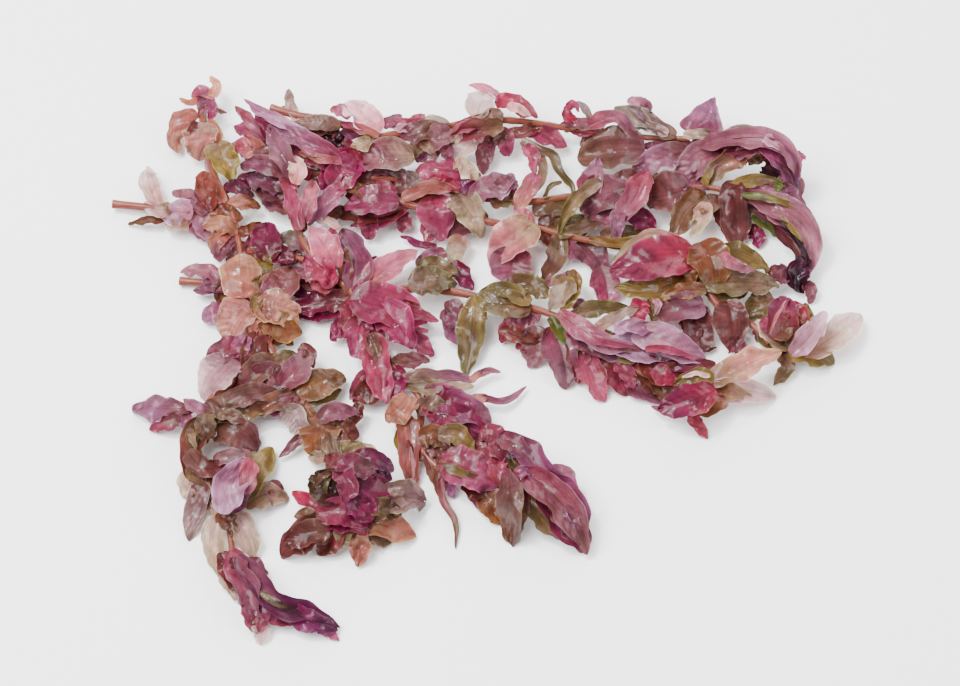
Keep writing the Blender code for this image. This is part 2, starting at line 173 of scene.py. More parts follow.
def left_shoot_leaves():
    """The small top shoot of the left stem and the leaves round the bare stub."""
    return [
        leaf("salmon", 7, (202, 96, 7), (190, 103, 7), (179, 98, 5)),
        leaf("salmon", 21, (197, 112, 8), (184, 118, 9), (174, 136, 6), (179, 153, 3), blunt=0.8,
             cup=-30),
        leaf("peach", 15, (206, 122, 8), (216, 134, 8), (214, 149, 5), blunt=0.8),
        leaf("red_brown", 7, (196, 121, 10), (190, 131, 10), (187, 137, 9)),
        leaf("red_salmon", 23, (211, 211, 8), (206, 192, 9), (203, 171, 7), cup=40),
        leaf("salmon", 14, (224, 204, 8), (216, 190, 8), (212, 178, 6)),
        leaf("pale_lilac", 9, (212, 176, 6), (209, 164, 6), (208, 153, 5)),
        leaf("orange", 15, (229, 203, 9), (245, 203, 8), (261, 207, 5), base="peach"),
        leaf("peach", 18, (237, 232, 8), (218, 224, 9), (202, 228, 6), wave=1.2, base="orange"),
        leaf("orange", 16, (218, 207, 8), (230, 214, 8), (243, 219, 6)),
        leaf("red_brown", 16, (226, 222, 6), (220, 212, 6), (212, 203, 4)),
        leaf("mauve", 26, (232, 228, 7), (222, 246, 7), (220, 262, 4)),
        leaf("salmon", 16, (228, 232, 8), (217, 241, 8), (213, 255, 5)),
        leaf("orange", 14, (239, 230, 8), (249, 232, 8), (261, 222, 6), cup=60),
        leaf("rose_brown", 15, (243, 241, 7), (236, 252, 7), (226, 262, 4)),
        leaf("clear", 10, (163, 206, 6), (156, 197, 6), (157, 183, 4)),
        leaf("clear", 20, (158, 205, 6), (150, 187, 6), (147, 168, 2), blunt=0.9),
        leaf("brown", 9, (166, 220, 4), (148, 221, 4), (128, 224, 1), cup=50),
        leaf("clear", 16, (173, 208, 7), (158, 210, 6), (144, 203, 4)),
        leaf("lilac", 16, (208, 209, 8), (190, 198, 8), (172, 192, 5), base="mauve"),
        leaf("pale_lilac", 24, (193, 214, 8), (178, 212, 8), (161, 218, 5), wave=1.4, rumple=0.7),
        leaf("clear", 16, (190, 219, 6), (178, 225, 5), (165, 224, 2), wave=1.2),
        leaf("lilac", 20, (189, 206, 7), (200, 221, 6), (210, 243, 4), base="mauve"),
        leaf("lilac", 12, (190, 224, 5), (198, 232, 4), (207, 241, 2)),
        leaf("mauve", 13, (206, 214, 8), (196, 206, 8), (182, 201, 6)),
        leaf("tan", 9, (171, 213, 8), (167, 207, 8), (163, 203, 7)),
        leaf("lilac", 16, (223, 277, 6), (202, 271, 5), (180, 272, 2), wave=1.0),
        leaf("mauve", 15, (226, 289, 6), (212, 284, 6), (204, 271, 4)),
        leaf("mauve", 12, (222, 288, 6), (207, 290, 5), (193, 291, 3)),
        leaf("orange", 15, (229, 286, 6), (222, 293, 5), (219, 304, 2), base="red_brown"),
    ]


def crown_leaves():
    """The crowded leaves at the upper left, where the stems come together."""
    return [
        leaf("pink", 11, (266, 140, 13), (250, 122, 15), (235, 106, 10), fold=25, blunt=0.3,
             base="lilac"),
        leaf("lilac", 12, (305, 135, 16), (278, 121, 18), (260, 112, 16), (244, 99, 12), fold=25,
             blunt=0.3, base="pale_lilac"),
        leaf("magenta", 15, (274, 142, 13), (266, 128, 15), (256, 112, 12), blunt=0.3),
        leaf("rose", 19, (266, 138, 11), (249, 131, 12), (234, 126, 8), blunt=0.3, base="salmon"),
        leaf("rose_brown", 26, (284, 162, 10), (266, 150, 12), (252, 138, 9)),
        leaf("lilac", 21, (342, 160, 15), (318, 148, 18), (294, 137, 18), (268, 122, 13), pleat=0.3,
             fold=18, rumple=0.5, blunt=0.3, base="pink"),
        leaf("salmon", 9, (342, 162, 17), (320, 159, 18), (298, 152, 15), fold=20, base="pink"),
        leaf("pink", 20, (318, 164, 12), (304, 155, 14), (288, 144, 13), rumple=0.5, base="rose"),
        leaf("magenta", 16, (330, 152, 12), (316, 145, 14), (304, 138, 12)),
        leaf("pink", 22, (264, 153, 11), (248, 147, 11), (229, 149, 6), pleat=0.3, base="salmon"),
        leaf("magenta", 18, (270, 163, 7), (252, 156, 7), (240, 148, 5)),
        leaf("magenta", 22, (312, 158, 10), (292, 147, 11), (272, 140, 8)),
        leaf("lilac", 21, (294, 178, 15), (282, 155, 18), (269, 126, 15), fold=18, pleat=0.2,
             base="mauve"),
        leaf("mauve", 20, (288, 174, 11), (266, 166, 12), (240, 165, 7), rumple=0.6, base="rose_brown"),
        leaf("mauve", 22, (292, 192, 8), (268, 182, 9), (243, 176, 5), rumple=0.6, wave=1.2),
        leaf("rose_brown", 20, (292, 203, 7), (275, 195, 8), (252, 188, 5), rumple=0.5),
        leaf("mauve", 18, (290, 212, 6), (278, 205, 6), (262, 203, 3), base="brown"),
        leaf("pink", 18, (286, 172, 10), (290, 186, 11), (293, 199, 8)),
        leaf("rose", 18, (300, 186, 8), (283, 178, 8), (268, 172, 5)),
        leaf("purple", 15, (227, 184, 8), (240, 190, 9), (254, 197, 6)),
        leaf("magenta", 14, (224, 190, 6), (238, 186, 7), (252, 187, 5)),
        leaf("mauve", 18, (256, 176, 6), (244, 184, 5), (232, 190, 3)),
        leaf("hot_pink", 34, (330, 188, 12), (344, 172, 14), (362, 155, 10), wave=1.2),
        leaf("hot_pink", 30, (352, 157, 12), (336, 172, 13), (322, 190, 10), wave=1.2, base="magenta"),
        leaf("red_pink", 22, (362, 162, 11), (344, 158, 13), (325, 156, 11)),
        leaf("magenta", 24, (342, 176, 10), (334, 192, 10), (328, 206, 6)),
        leaf("lilac", 20, (343, 184, 13), (327, 203, 12), (308, 226, 8), blunt=0.3, base="pink"),
        leaf("white_pink", 18, (295, 184, 16), (298, 171, 19), (292, 156, 17), fold=12, blunt=0.2,
             rumple=0.1),
        leaf("pale_pink", 17, (303, 222, 12), (310, 200, 15), (313, 180, 12), blunt=0.8, fold=14,
             base="rose"),
        leaf("pink", 17, (301, 230, 12), (294, 210, 13), (287, 184, 10), fold=16, base="rose"),
        leaf("red_brown", 14, (305, 232, 8), (298, 222, 8), (290, 213, 6)),
        leaf("dark", 18, (322, 132, 12), (338, 142, 12), (352, 148, 8), rumple=0.8),
        leaf("magenta", 16, (308, 130, 11), (320, 140, 11), (334, 150, 8)),
        leaf("rose", 20, (356, 150, 10), (334, 145, 11), (312, 142, 8)),
        leaf("dusty", 11, (297, 121, 14), (291, 106, 14), (288, 89, 10), blunt=0.8, base="clear"),
        leaf("grey", 9, (298, 120, 13), (290, 112, 13), (281, 107, 10), base="brown"),
        leaf("dusty", 20, (341, 125, 15), (320, 121, 17), (296, 122, 14), cup=-50, pleat=0.5,
             rumple=0.1, wave=0.2, base="brown"),
        leaf("red_brown", 16, (340, 130, 12), (320, 129, 13), (300, 129, 11), rumple=0.1),
        leaf("pink", 13, (350, 118, 13), (341, 111, 14), (330, 109, 10), blunt=0.3, base="lilac"),
        leaf("rose", 9, (379, 136, 15), (358, 129, 16), (337, 122, 14), fold=30, base="salmon"),
        leaf("beige", 15, (378, 137, 14), (364, 143, 15), (350, 150, 12), pleat=0.3, rumple=0.8,
             base="tan"),
        leaf("mauve", 16, (372, 134, 11), (354, 133, 11), (338, 134, 9)),
        leaf("mauve", 36, (414, 155, 12), (385, 156, 14), (354, 158, 10), pleat=0.4, rumple=0.1,
             base="dusty"),
        leaf("mauve", 22, (401, 172, 9), (380, 166, 10), (358, 165, 8), pleat=0.2),
        leaf("grey", 12, (385, 168, 10), (398, 172, 10), (410, 176, 8)),
        leaf("pink", 24, (340, 166, 14), (322, 160, 15), (302, 152, 13), base="mauve"),
        leaf("rose_brown", 20, (352, 166, 10), (367, 176, 10), (381, 180, 7), pleat=0.25),
        leaf("orange", 12, (344, 184, 12), (358, 190, 12), (376, 194, 9), rumple=0.1, base="brown"),
        leaf("red_brown", 12, (346, 194, 9), (360, 199, 9), (377, 203, 8), cup=60),
        leaf("pink", 14, (394, 197, 10), (386, 188, 11), (375, 183, 9)),
        leaf("red_brown", 20, (403, 208, 8), (370, 217, 7), (325, 210, 4), fold=25),
        leaf("rose", 18, (342, 214, 6), (330, 212, 6), (322, 209, 4), base="brown"),
        leaf("rose", 20, (366, 212, 7), (369, 228, 6), (369, 240, 2), blunt=0.8),
        leaf("pink", 13, (406, 208, 8), (385, 220, 7), (350, 226, 4)),
        leaf("rose", 16, (398, 212, 6), (404, 222, 5), (400, 232, 2)),
        leaf("pink", 18, (310, 178, 10), (290, 166, 11), (270, 160, 8)),
        leaf("rose_brown", 18, (322, 190, 8), (316, 178, 9), (312, 166, 8)),
    ]


def top_leaves():
    """The leaves of the long stem along the top."""
    return [
        leaf("lilac", 12, (380, 124, 12), (391, 122, 12), (402, 115, 10), base="pink"),
        leaf("white_pink", 9, (412, 130, 12), (400, 128, 12), (388, 126, 10)),
        leaf("pink", 12, (428, 124, 11), (405, 124, 12), (384, 123, 10)),
        leaf("pink", 12, (406, 127, 11), (416, 121, 12), (425, 114, 10), blunt=0.2, base="rose"),
        leaf("rose_brown", 24, (443, 130, 12), (420, 132, 13), (396, 139, 9), base="tan"),
        leaf("beige", 13, (449, 126, 12), (432, 122, 13), (413, 126, 11), base="tan"),
        leaf("lilac", 26, (450, 128, 12), (437, 139, 13), (424, 150, 9), base="mauve"),
        leaf("tan", 16, (428, 139, 10), (415, 150, 10), (406, 162, 7)),
        leaf("mauve", 20, (440, 146, 9), (428, 154, 9), (415, 160, 6)),
        leaf("lilac", 16, (442, 142, 10), (447, 151, 10), (450, 160, 7)),
        leaf("beige", 10, (421, 142, 11), (430, 150, 11), (436, 158, 9)),
        leaf("rose", 20, (503, 125, 13), (472, 130, 14), (445, 143, 9), fold=40, roll=20, base="tan"),
        leaf("pale_pink", 11, (480, 126, 14), (464, 128, 15), (447, 138, 11), fold=20, base="rose"),
        leaf("rose", 12, (502, 119, 11), (472, 122, 12), (446, 129, 9)),
        leaf("pale_pink", 10, (502, 101, 12), (486, 89, 13), (468, 85, 11), base="lilac"),
        leaf("pink", 20, (496, 99, 12), (514, 104, 14), (538, 118, 9), cup=25, wave=1.2, base="red_pink"),
        leaf("white_pink", 10, (507, 106, 15), (518, 109, 16), (531, 116, 13), rumple=0.1),
        leaf("brown", 15, (503, 119, 13), (492, 116, 14), (480, 121, 12), base="tan"),
        leaf("clear", 24, (480, 131, 11), (465, 145, 11), (452, 160, 7), pleat=0.25),
        leaf("rose", 21, (496, 130, 10), (505, 142, 8), (507, 156, 4), blunt=0.8, base="brown"),
        leaf("brown", 14, (506, 130, 9), (496, 138, 9), (489, 147, 7)),
        leaf("rose_brown", 14, (540, 126, 8), (524, 133, 8), (506, 131, 6), fold=25),
        leaf("rose", 21, (526, 129, 8), (548, 137, 7), (567, 147, 4), base="magenta"),
        leaf("mauve", 14, (602, 128, 9), (582, 124, 10), (560, 124, 9), base="lilac"),
        leaf("pink", 16, (604, 130, 8), (584, 130, 8), (564, 130, 6)),
        leaf("rose", 12, (574, 122, 10), (566, 113, 12), (574, 105, 12), cup=50, blunt=0.8,
             base="red_pink"),
        leaf("pink", 7, (566, 106, 13), (574, 104, 14), (579, 112, 12), cup=50),
        leaf("grey", 8, (591, 119, 11), (584, 108, 12), (577, 101, 11)),
        leaf("lilac", 17, (589, 127, 11), (606, 119, 13), (621, 121, 13), (637, 138, 9), fold=24,
             base="pink"),
        leaf("lilac", 11, (618, 126, 9), (627, 128, 10), (636, 137, 7)),
        leaf("grey", 19, (676, 136, 11), (656, 127, 13), (636, 115, 14), (614, 107, 11), rumple=0.8,
             wave=1.0),
        leaf("grey", 12, (668, 134, 12), (650, 128, 13), (634, 126, 11), rumple=0.8, base="clear"),
        leaf("mauve", 15, (650, 122, 12), (645, 112, 15), (649, 101, 12), blunt=0.3, base="grey"),
        leaf("lilac", 14, (649, 108, 13), (638, 103, 15), (627, 100, 12), base="mauve"),
        leaf("lilac", 28, (690, 152, 9), (660, 158, 9), (630, 178, 3), pleat=0.25, base="rose_brown"),
        leaf("mauve", 20, (690, 146, 7), (664, 150, 7), (642, 146, 4)),
        leaf("grey", 11, (683, 135, 13), (704, 135, 15), (727, 137, 13), base="clear"),
        leaf("olive", 8, (692, 139, 12), (708, 139, 13), (724, 139, 12)),
        leaf("lilac", 11, (701, 145, 9), (680, 147, 8), (656, 142, 6)),
        leaf("mauve", 20, (722, 144, 10), (702, 147, 10), (684, 156, 7)),
        leaf("rose_brown", 14, (606, 133, 7), (592, 136, 6), (580, 146, 4)),
    ]


def behind_leaves():
    """The leaves of the stem between the two upper ones, and what hangs from its right end."""
    return [
        leaf("rose_brown", 25, (420, 178, 9), (405, 184, 9), (389, 185, 6), base="grey"),
        leaf("mauve", 16, (402, 178, 8), (390, 171, 8), (378, 170, 6)),
        leaf("olive", 16, (412, 192, 7), (402, 196, 7), (392, 197, 4)),
        leaf("clear", 18, (457, 160, 11), (467, 170, 11), (478, 183, 8), rumple=0.9, pleat=0.3,
             base="beige"),
        leaf("tan", 16, (478, 172, 8), (470, 180, 8), (464, 191, 6)),
        leaf("lilac", 27, (470, 197, 9), (494, 187, 11), (518, 182, 8), pleat=0.25, wave=1.3,
             base="mauve"),
        leaf("lilac", 17, (492, 190, 10), (504, 184, 11), (514, 174, 8), blunt=0.3),
        leaf("mauve", 24, (486, 196, 8), (500, 188, 9), (517, 190, 6)),
        leaf("magenta", 18, (458, 184, 9), (468, 188, 9), (482, 194, 6), base="purple"),
        leaf("red_pink", 16, (430, 180, 10), (446, 184, 11), (462, 186, 9)),
        leaf("salmon", 14, (402, 199, 10), (430, 189, 12), (460, 191, 9), fold=30, base="salmon"),
        # This red-brown leaf is a dark sheet laid in the shadow between the stems: painted shade.
        leaf("red_brown", 15, (400, 206, 7), (424, 200, 8), (450, 200, 6)),
        leaf("pink", 14, (525, 145, 9), (533, 158, 10), (534, 176, 8), blunt=0.3, base="hot_pink"),
        leaf("tan", 13, (522, 141, 8), (540, 160, 8), (540, 180, 8), (529, 198, 6), twist=40,
             base="brown"),
        leaf("salmon", 19, (537, 174, 9), (528, 190, 9), (514, 218, 6), base="rose"),
        leaf("olive", 10, (522, 140, 9), (540, 151, 9), (553, 156, 8), (560, 172, 7), (572, 186, 5),
             (571, 199, 4),
             base="tan"),
        leaf("olive", 5, (562, 182, 6), (551, 186, 5), (546, 194, 4), (542, 203, 3)),
        leaf("olive", 18, (491, 205, 8), (503, 200, 8), (517, 197, 6), base="brown"),
        leaf("olive", 24, (532, 210, 5), (552, 209, 5), (578, 208, 4), base="brown"),
        leaf("brown", 18, (538, 222, 5), (556, 224, 5), (576, 219, 3)),
        leaf("olive", 14, (570, 236, 5), (582, 228, 5), (600, 214, 3)),
        leaf("lilac", 25, (586, 195, 8), (592, 180, 9), (599, 157, 7), early=0.55, blunt=0.1,
             base="pink"),
        leaf("gold", 14, (600, 181, 10), (580, 194, 12), (566, 212, 11), (558, 236, 8), fold=25,
             roll=20, base="beige"),
        leaf("rose_brown", 24, (604, 178, 7), (592, 190, 8), (574, 202, 6)),
        leaf("rose_brown", 26, (612, 186, 8), (626, 182, 8), (645, 180, 5), base="tan"),
        leaf("mauve", 30, (628, 204, 6), (604, 214, 6), (578, 224, 3), base="magenta"),
        leaf("rose", 20, (626, 196, 6), (612, 206, 6), (600, 222, 4)),
        leaf("pink", 26, (618, 222, 9), (634, 198, 12), (649, 170, 9), fold=22, blunt=0.3, base="lilac"),
        leaf("white_pink", 7, (641, 204, 12), (645, 196, 13), (647, 186, 12), rumple=0.1),
        leaf("lilac", 16, (624, 204, 10), (617, 222, 11), (618, 242, 7), blunt=0.4, base="rose"),
        leaf("magenta", 23, (626, 213, 7), (641, 220, 7), (656, 234, 4), base="purple"),
        leaf("tan", 14, (620, 182, 6), (634, 176, 6), (642, 166, 4)),
        leaf("rose_brown", 46, (692, 187, 8), (671, 194, 9), (646, 199, 5), blunt=0.8, base="mauve"),
        leaf("olive", 12, (662, 186, 7), (654, 178, 7), (650, 169, 5)),
        leaf("brown", 30, (707, 197, 9), (688, 208, 10), (670, 238, 7), roll=20, base="orange"),
        leaf("clear", 18, (706, 202, 10), (702, 217, 9), (691, 238, 6), rumple=0.8),
        leaf("tan", 18, (722, 200, 8), (706, 206, 9), (690, 216, 8)),
        leaf("magenta", 14, (699, 200, 7), (712, 202, 7), (726, 200, 5)),
        leaf("rose_brown", 14, (713, 202, 7), (721, 218, 5), (727, 236, 2)),
        leaf("magenta", 16, (748, 226, 3), (757, 237, 2), (758, 249, 1), blunt=0.6),
        leaf("mauve", 20, (700, 177, 9), (697, 190, 8), (704, 202, 6)),
        leaf("mauve", 18, (680, 192, 8), (694, 198, 8), (704, 208, 6), base="magenta"),
        leaf("lilac", 36, (729, 150, 12), (701, 160, 11), (673, 182, 5), pleat=0.35, blunt=0.4),
        leaf("mauve", 22, (712, 178, 8), (694, 182, 8), (678, 186, 5)),
        leaf("tan", 22, (752, 150, 15), (730, 161, 13), (712, 175, 10), (705, 189, 7), fold=18, roll=10,
             base="salmon"),
        leaf("gold", 8, (712, 168, 12), (706, 178, 11), (705, 190, 8), base="tan"),
    ]


def upper_leaves():
    """The leaves of the stem that runs through the middle to the right."""
    return [
        leaf("magenta", 8, (437, 247, 5), (420, 245, 5), (409, 239, 4), (400, 236, 3)),
        leaf("pink", 22, (440, 197, 7), (432, 220, 6), (426, 244, 3)),
        leaf("rose_brown", 24, (486, 212, 6), (466, 226, 5), (445, 238, 4), base="brown"),
        leaf("beige", 20, (463, 236, 6), (456, 250, 5), (450, 266, 3), blunt=0.8),
        leaf("lilac", 18, (446, 252, 6), (432, 258, 5), (415, 262, 3)),
        leaf("tan", 22, (416, 268, 8), (436, 268, 8), (458, 273, 6), base="olive"),
        leaf("magenta", 18, (452, 262, 5), (462, 276, 4), (473, 290, 2)),
        leaf("mauve", 24, (450, 300, 5), (458, 322, 4), (462, 345, 1.5), base="rose_brown"),
        leaf("mauve", 46, (514, 248, 6), (511, 266, 4), (508, 285, 1), blunt=0.8, pleat=0.2),
        leaf("rose", 10, (503, 290, 8), (508, 294, 8), (514, 299, 7)),
        leaf("brown", 16, (512, 285, 6), (521, 292, 6), (531, 300, 5)),
        leaf("pale_pink", 16, (533, 225, 9), (524, 217, 9), (516, 209, 7)),
        leaf("brown", 21, (561, 233, 7), (557, 250, 6), (550, 266, 4), (537, 285, 1), twist=50,
             base="tan"),
        leaf("red_brown", 16, (535, 228, 7), (548, 238, 6), (563, 246, 4)),
        leaf("brown", 13, (558, 236, 8), (580, 229, 8), (602, 222, 6), base="olive"),
        leaf("olive", 18, (548, 232, 7), (566, 226, 7), (584, 216, 5)),
        leaf("gold", 10, (589, 240, 8), (615, 244, 9), (652, 237, 8), fold=30),
        leaf("olive", 14, (600, 236, 6), (622, 232, 6), (646, 232, 4), base="brown"),
        leaf("mauve", 28, (579, 240, 5), (594, 256, 4), (606, 277, 1), base="rose_brown", rumple=0.1,
             wave=0.4),
        leaf("rose", 31, (600, 266, 5), (606, 286, 3), (608, 308, 1), base="rose_brown", rumple=0.1,
             wave=0.4),
        leaf("mauve", 18, (558, 240, 6), (570, 250, 5), (586, 260, 3), base="rose"),
        leaf("gold", 27, (697, 268, 10), (662, 288, 9), (614, 288, 7), pleat=0.2, base="orange"),
        leaf("beige", 10, (690, 246, 12), (650, 234, 12), (610, 262, 11), base="pale_pink"),
        leaf("red_pink", 24, (692, 254, 11), (672, 248, 12), (644, 243, 10), base="red_salmon"),
        leaf("orange", 42, (700, 242, 12), (711, 262, 13), (716, 288, 9), wave=0.8, rumple=0.15),
        leaf("orange", 18, (692, 258, 12), (690, 270, 13), (694, 284, 10), base="red_salmon"),
        leaf("lilac", 11, (721, 253, 15), (733, 265, 15), (755, 272, 12), fold=20, rumple=0.1,
             base="pink"),
        leaf("gold", 22, (718, 250, 12), (744, 256, 11), (769, 271, 8), wave=1.0, base="olive"),
        leaf("olive", 22, (700, 288, 8), (722, 292, 8), (748, 292, 6)),
        leaf("brown", 24, (738, 274, 8), (752, 281, 8), (768, 278, 6), base="tan"),
        leaf("mauve", 21, (768, 274, 6), (779, 275, 6), (791, 277, 3), blunt=0.8),
        leaf("mauve", 12, (712, 276, 10), (700, 280, 10), (690, 286, 8)),
        leaf("rose_brown", 31, (704, 304, 9), (682, 309, 10), (651, 311, 6), blunt=0.8, rumple=0.15,
             base="mauve"),
        leaf("pale_lilac", 7, (655, 299, 10), (658, 306, 11), (656, 315, 8), rumple=0.8),
        leaf("rose_brown", 33, (694, 304, 7), (698, 327, 5), (702, 354, 2), rumple=0.1),
        leaf("rose_brown", 20, (684, 318, 6), (692, 330, 5), (698, 342, 3)),
        leaf("red_brown", 4, (698, 349, 3), (708, 350, 2), (717, 347, 2)),
        leaf("red_pink", 21, (642, 300, 8), (638, 311, 8), (637, 325, 6), rumple=0.1),
        leaf("olive", 15, (652, 298, 8), (655, 310, 7), (652, 323, 5)),
        leaf("beige", 7, (651, 298, 9), (655, 306, 9), (653, 316, 7), cup=60),
        leaf("orange", 16, (706, 290, 11), (684, 291, 12), (660, 299, 10), base="brown"),
        leaf("olive", 26, (773, 297, 6), (761, 304, 6), (746, 322, 3), base="brown"),
        leaf("brown", 15, (703, 290, 9), (690, 281, 9), (676, 277, 7)),
        leaf("rose_brown", 12, (716, 306, 7), (734, 314, 7), (750, 326, 5)),
        leaf("mauve", 16, (756, 328, 5), (764, 338, 4), (774, 346, 3), base="rose_brown"),
        leaf("rose_brown", 20, (728, 340, 5), (736, 346, 4), (744, 354, 3)),
    ]


def middle_leaves():
    """The leaves of the olive and pink stem below the middle."""
    return [
        leaf("olive", 18, (531, 303, 9), (506, 291, 10), (479, 292, 7), base="gold"),
        leaf("olive", 23, (507, 284, 9), (530, 285, 10), (553, 298, 9), wave=1.0),
        leaf("mauve", 20, (478, 306, 6), (464, 322, 5), (452, 334, 3)),
        leaf("mauve", 26, (448, 308, 5), (456, 330, 4), (470, 348, 1.5), base="rose_brown"),
        leaf("gold", 12, (484, 297, 8), (496, 291, 9), (508, 284, 8)),
        leaf("beige", 24, (566, 276, 10), (561, 292, 11), (550, 311, 8), base="gold"),
        leaf("gold", 14, (570, 270, 9), (575, 286, 9), (570, 304, 7)),
        leaf("lilac", 9, (544, 286, 9), (558, 280, 9), (574, 270, 7)),
        leaf("gold", 14, (573, 282, 9), (571, 297, 10), (560, 313, 8)),
        leaf("green", 12, (550, 317, 9), (560, 332, 8), (577, 351, 5)),
        leaf("lilac", 21, (558, 312, 10), (581, 330, 11), (610, 345, 10), (646, 350, 8), pleat=0.4,
             rumple=0.1, base="pink"),
        leaf("rose", 7, (578, 330, 12), (600, 342, 12), (640, 348, 10), rumple=0.1, base="pink"),
        leaf("mauve", 22, (568, 330, 8), (600, 349, 8), (641, 356, 6), pleat=0.3),
        leaf("lilac", 32, (632, 334, 10), (664, 340, 12), (706, 362, 8), pleat=0.4, rumple=0.1,
             base="pale_lilac"),
        leaf("lilac", 17, (614, 330, 12), (634, 327, 13), (664, 330, 11), pleat=0.3, cup=50,
             base="pale_lilac"),
        leaf("pink", 8, (645, 349, 13), (668, 350, 13), (696, 359, 10), fold=20, rumple=0.1),
        leaf("olive", 17, (568, 320, 8), (596, 309, 9), (630, 307, 8), base="tan"),
        leaf("beige", 12, (594, 331, 9), (615, 318, 10), (640, 307, 8), base="salmon"),
        leaf("brown", 13, (592, 330, 8), (610, 338, 8), (630, 337, 7)),
        leaf("mauve", 9, (574, 310, 6), (580, 303, 6), (588, 308, 4)),
        leaf("mauve", 20, (540, 312, 6), (526, 318, 5), (511, 322, 3)),
        leaf("rose", 22, (526, 316, 6), (510, 328, 5), (500, 342, 2), base="mauve"),
        leaf("lilac", 30, (536, 326, 6), (535, 348, 4), (530, 368, 1), wave=1.1, base="mauve"),
        leaf("rose", 22, (522, 330, 5), (528, 344, 4), (538, 358, 2)),
        leaf("red_brown", 16, (499, 331, 6), (520, 336, 6), (544, 340, 5)),
        leaf("mauve", 36, (551, 326, 7), (562, 357, 5), (567, 389, 1), rumple=0.1, base="rose"),
        leaf("rose", 24, (570, 340, 6), (580, 360, 5), (580, 384, 2), base="mauve"),
        leaf("pink", 27, (581, 352, 6), (592, 374, 4), (603, 402, 1), rumple=0.1, fold=16, base="rose"),
        leaf("rose", 38, (611, 352, 6), (620, 372, 4), (627, 395, 1), blunt=0.8, rumple=0.1,
             base="red_brown"),
        leaf("pink", 16, (616, 362, 7), (627, 374, 6), (634, 390, 3), rumple=0.1, base="rose"),
        leaf("rose", 26, (596, 350, 5), (610, 366, 4), (616, 388, 2)),
        leaf("mauve", 13, (627, 389, 3), (645, 395, 2), (664, 403, 1)),
        leaf("tan", 14, (617, 357, 8), (630, 357, 8), (645, 352, 6), base="olive"),
        leaf("red_brown", 26, (641, 360, 7), (664, 374, 7), (690, 366, 6)),
        leaf("red_pink", 18, (654, 368, 9), (664, 377, 9), (678, 385, 7), early=0.7, rumple=0.1,
             base="rose"),
        leaf("red_brown", 26, (640, 362, 5), (650, 380, 5), (660, 398, 3), base="brown"),
        leaf("brown", 18, (649, 377, 6), (662, 390, 5), (668, 404, 3)),
        leaf("magenta", 14, (716, 366, 8), (685, 366, 8), (652, 361, 6), base="red_brown"),
        leaf("olive", 15, (714, 379, 11), (696, 376, 12), (674, 384, 9), base="gold"),
        leaf("white_pink", 5, (710, 376, 13), (696, 374, 14), (682, 377, 12), rumple=0.8, base="clear"),
        leaf("magenta", 32, (716, 390, 11), (690, 401, 11), (657, 411, 7), pleat=0.2, rumple=0.1,
             base="red_pink"),
        leaf("orange", 26, (714, 378, 8), (716, 398, 6), (692, 416, 3), base="peach"),
        leaf("clear", 26, (716, 390, 7), (746, 391, 6), (776, 397, 1), rumple=0.1, base="pale_pink"),
        leaf("beige", 16, (714, 386, 8), (732, 392, 8), (752, 397, 5), base="salmon"),
        leaf("white_pink", 5, (716, 380, 11), (732, 380, 12), (750, 380, 10), rumple=0.8, base="clear"),
        leaf("mauve", 6, (673, 405, 6), (660, 409, 5), (651, 406, 3)),
        leaf("pink", 13, (690, 412, 4), (697, 425, 2), (708, 439, 0.6)),
    ]


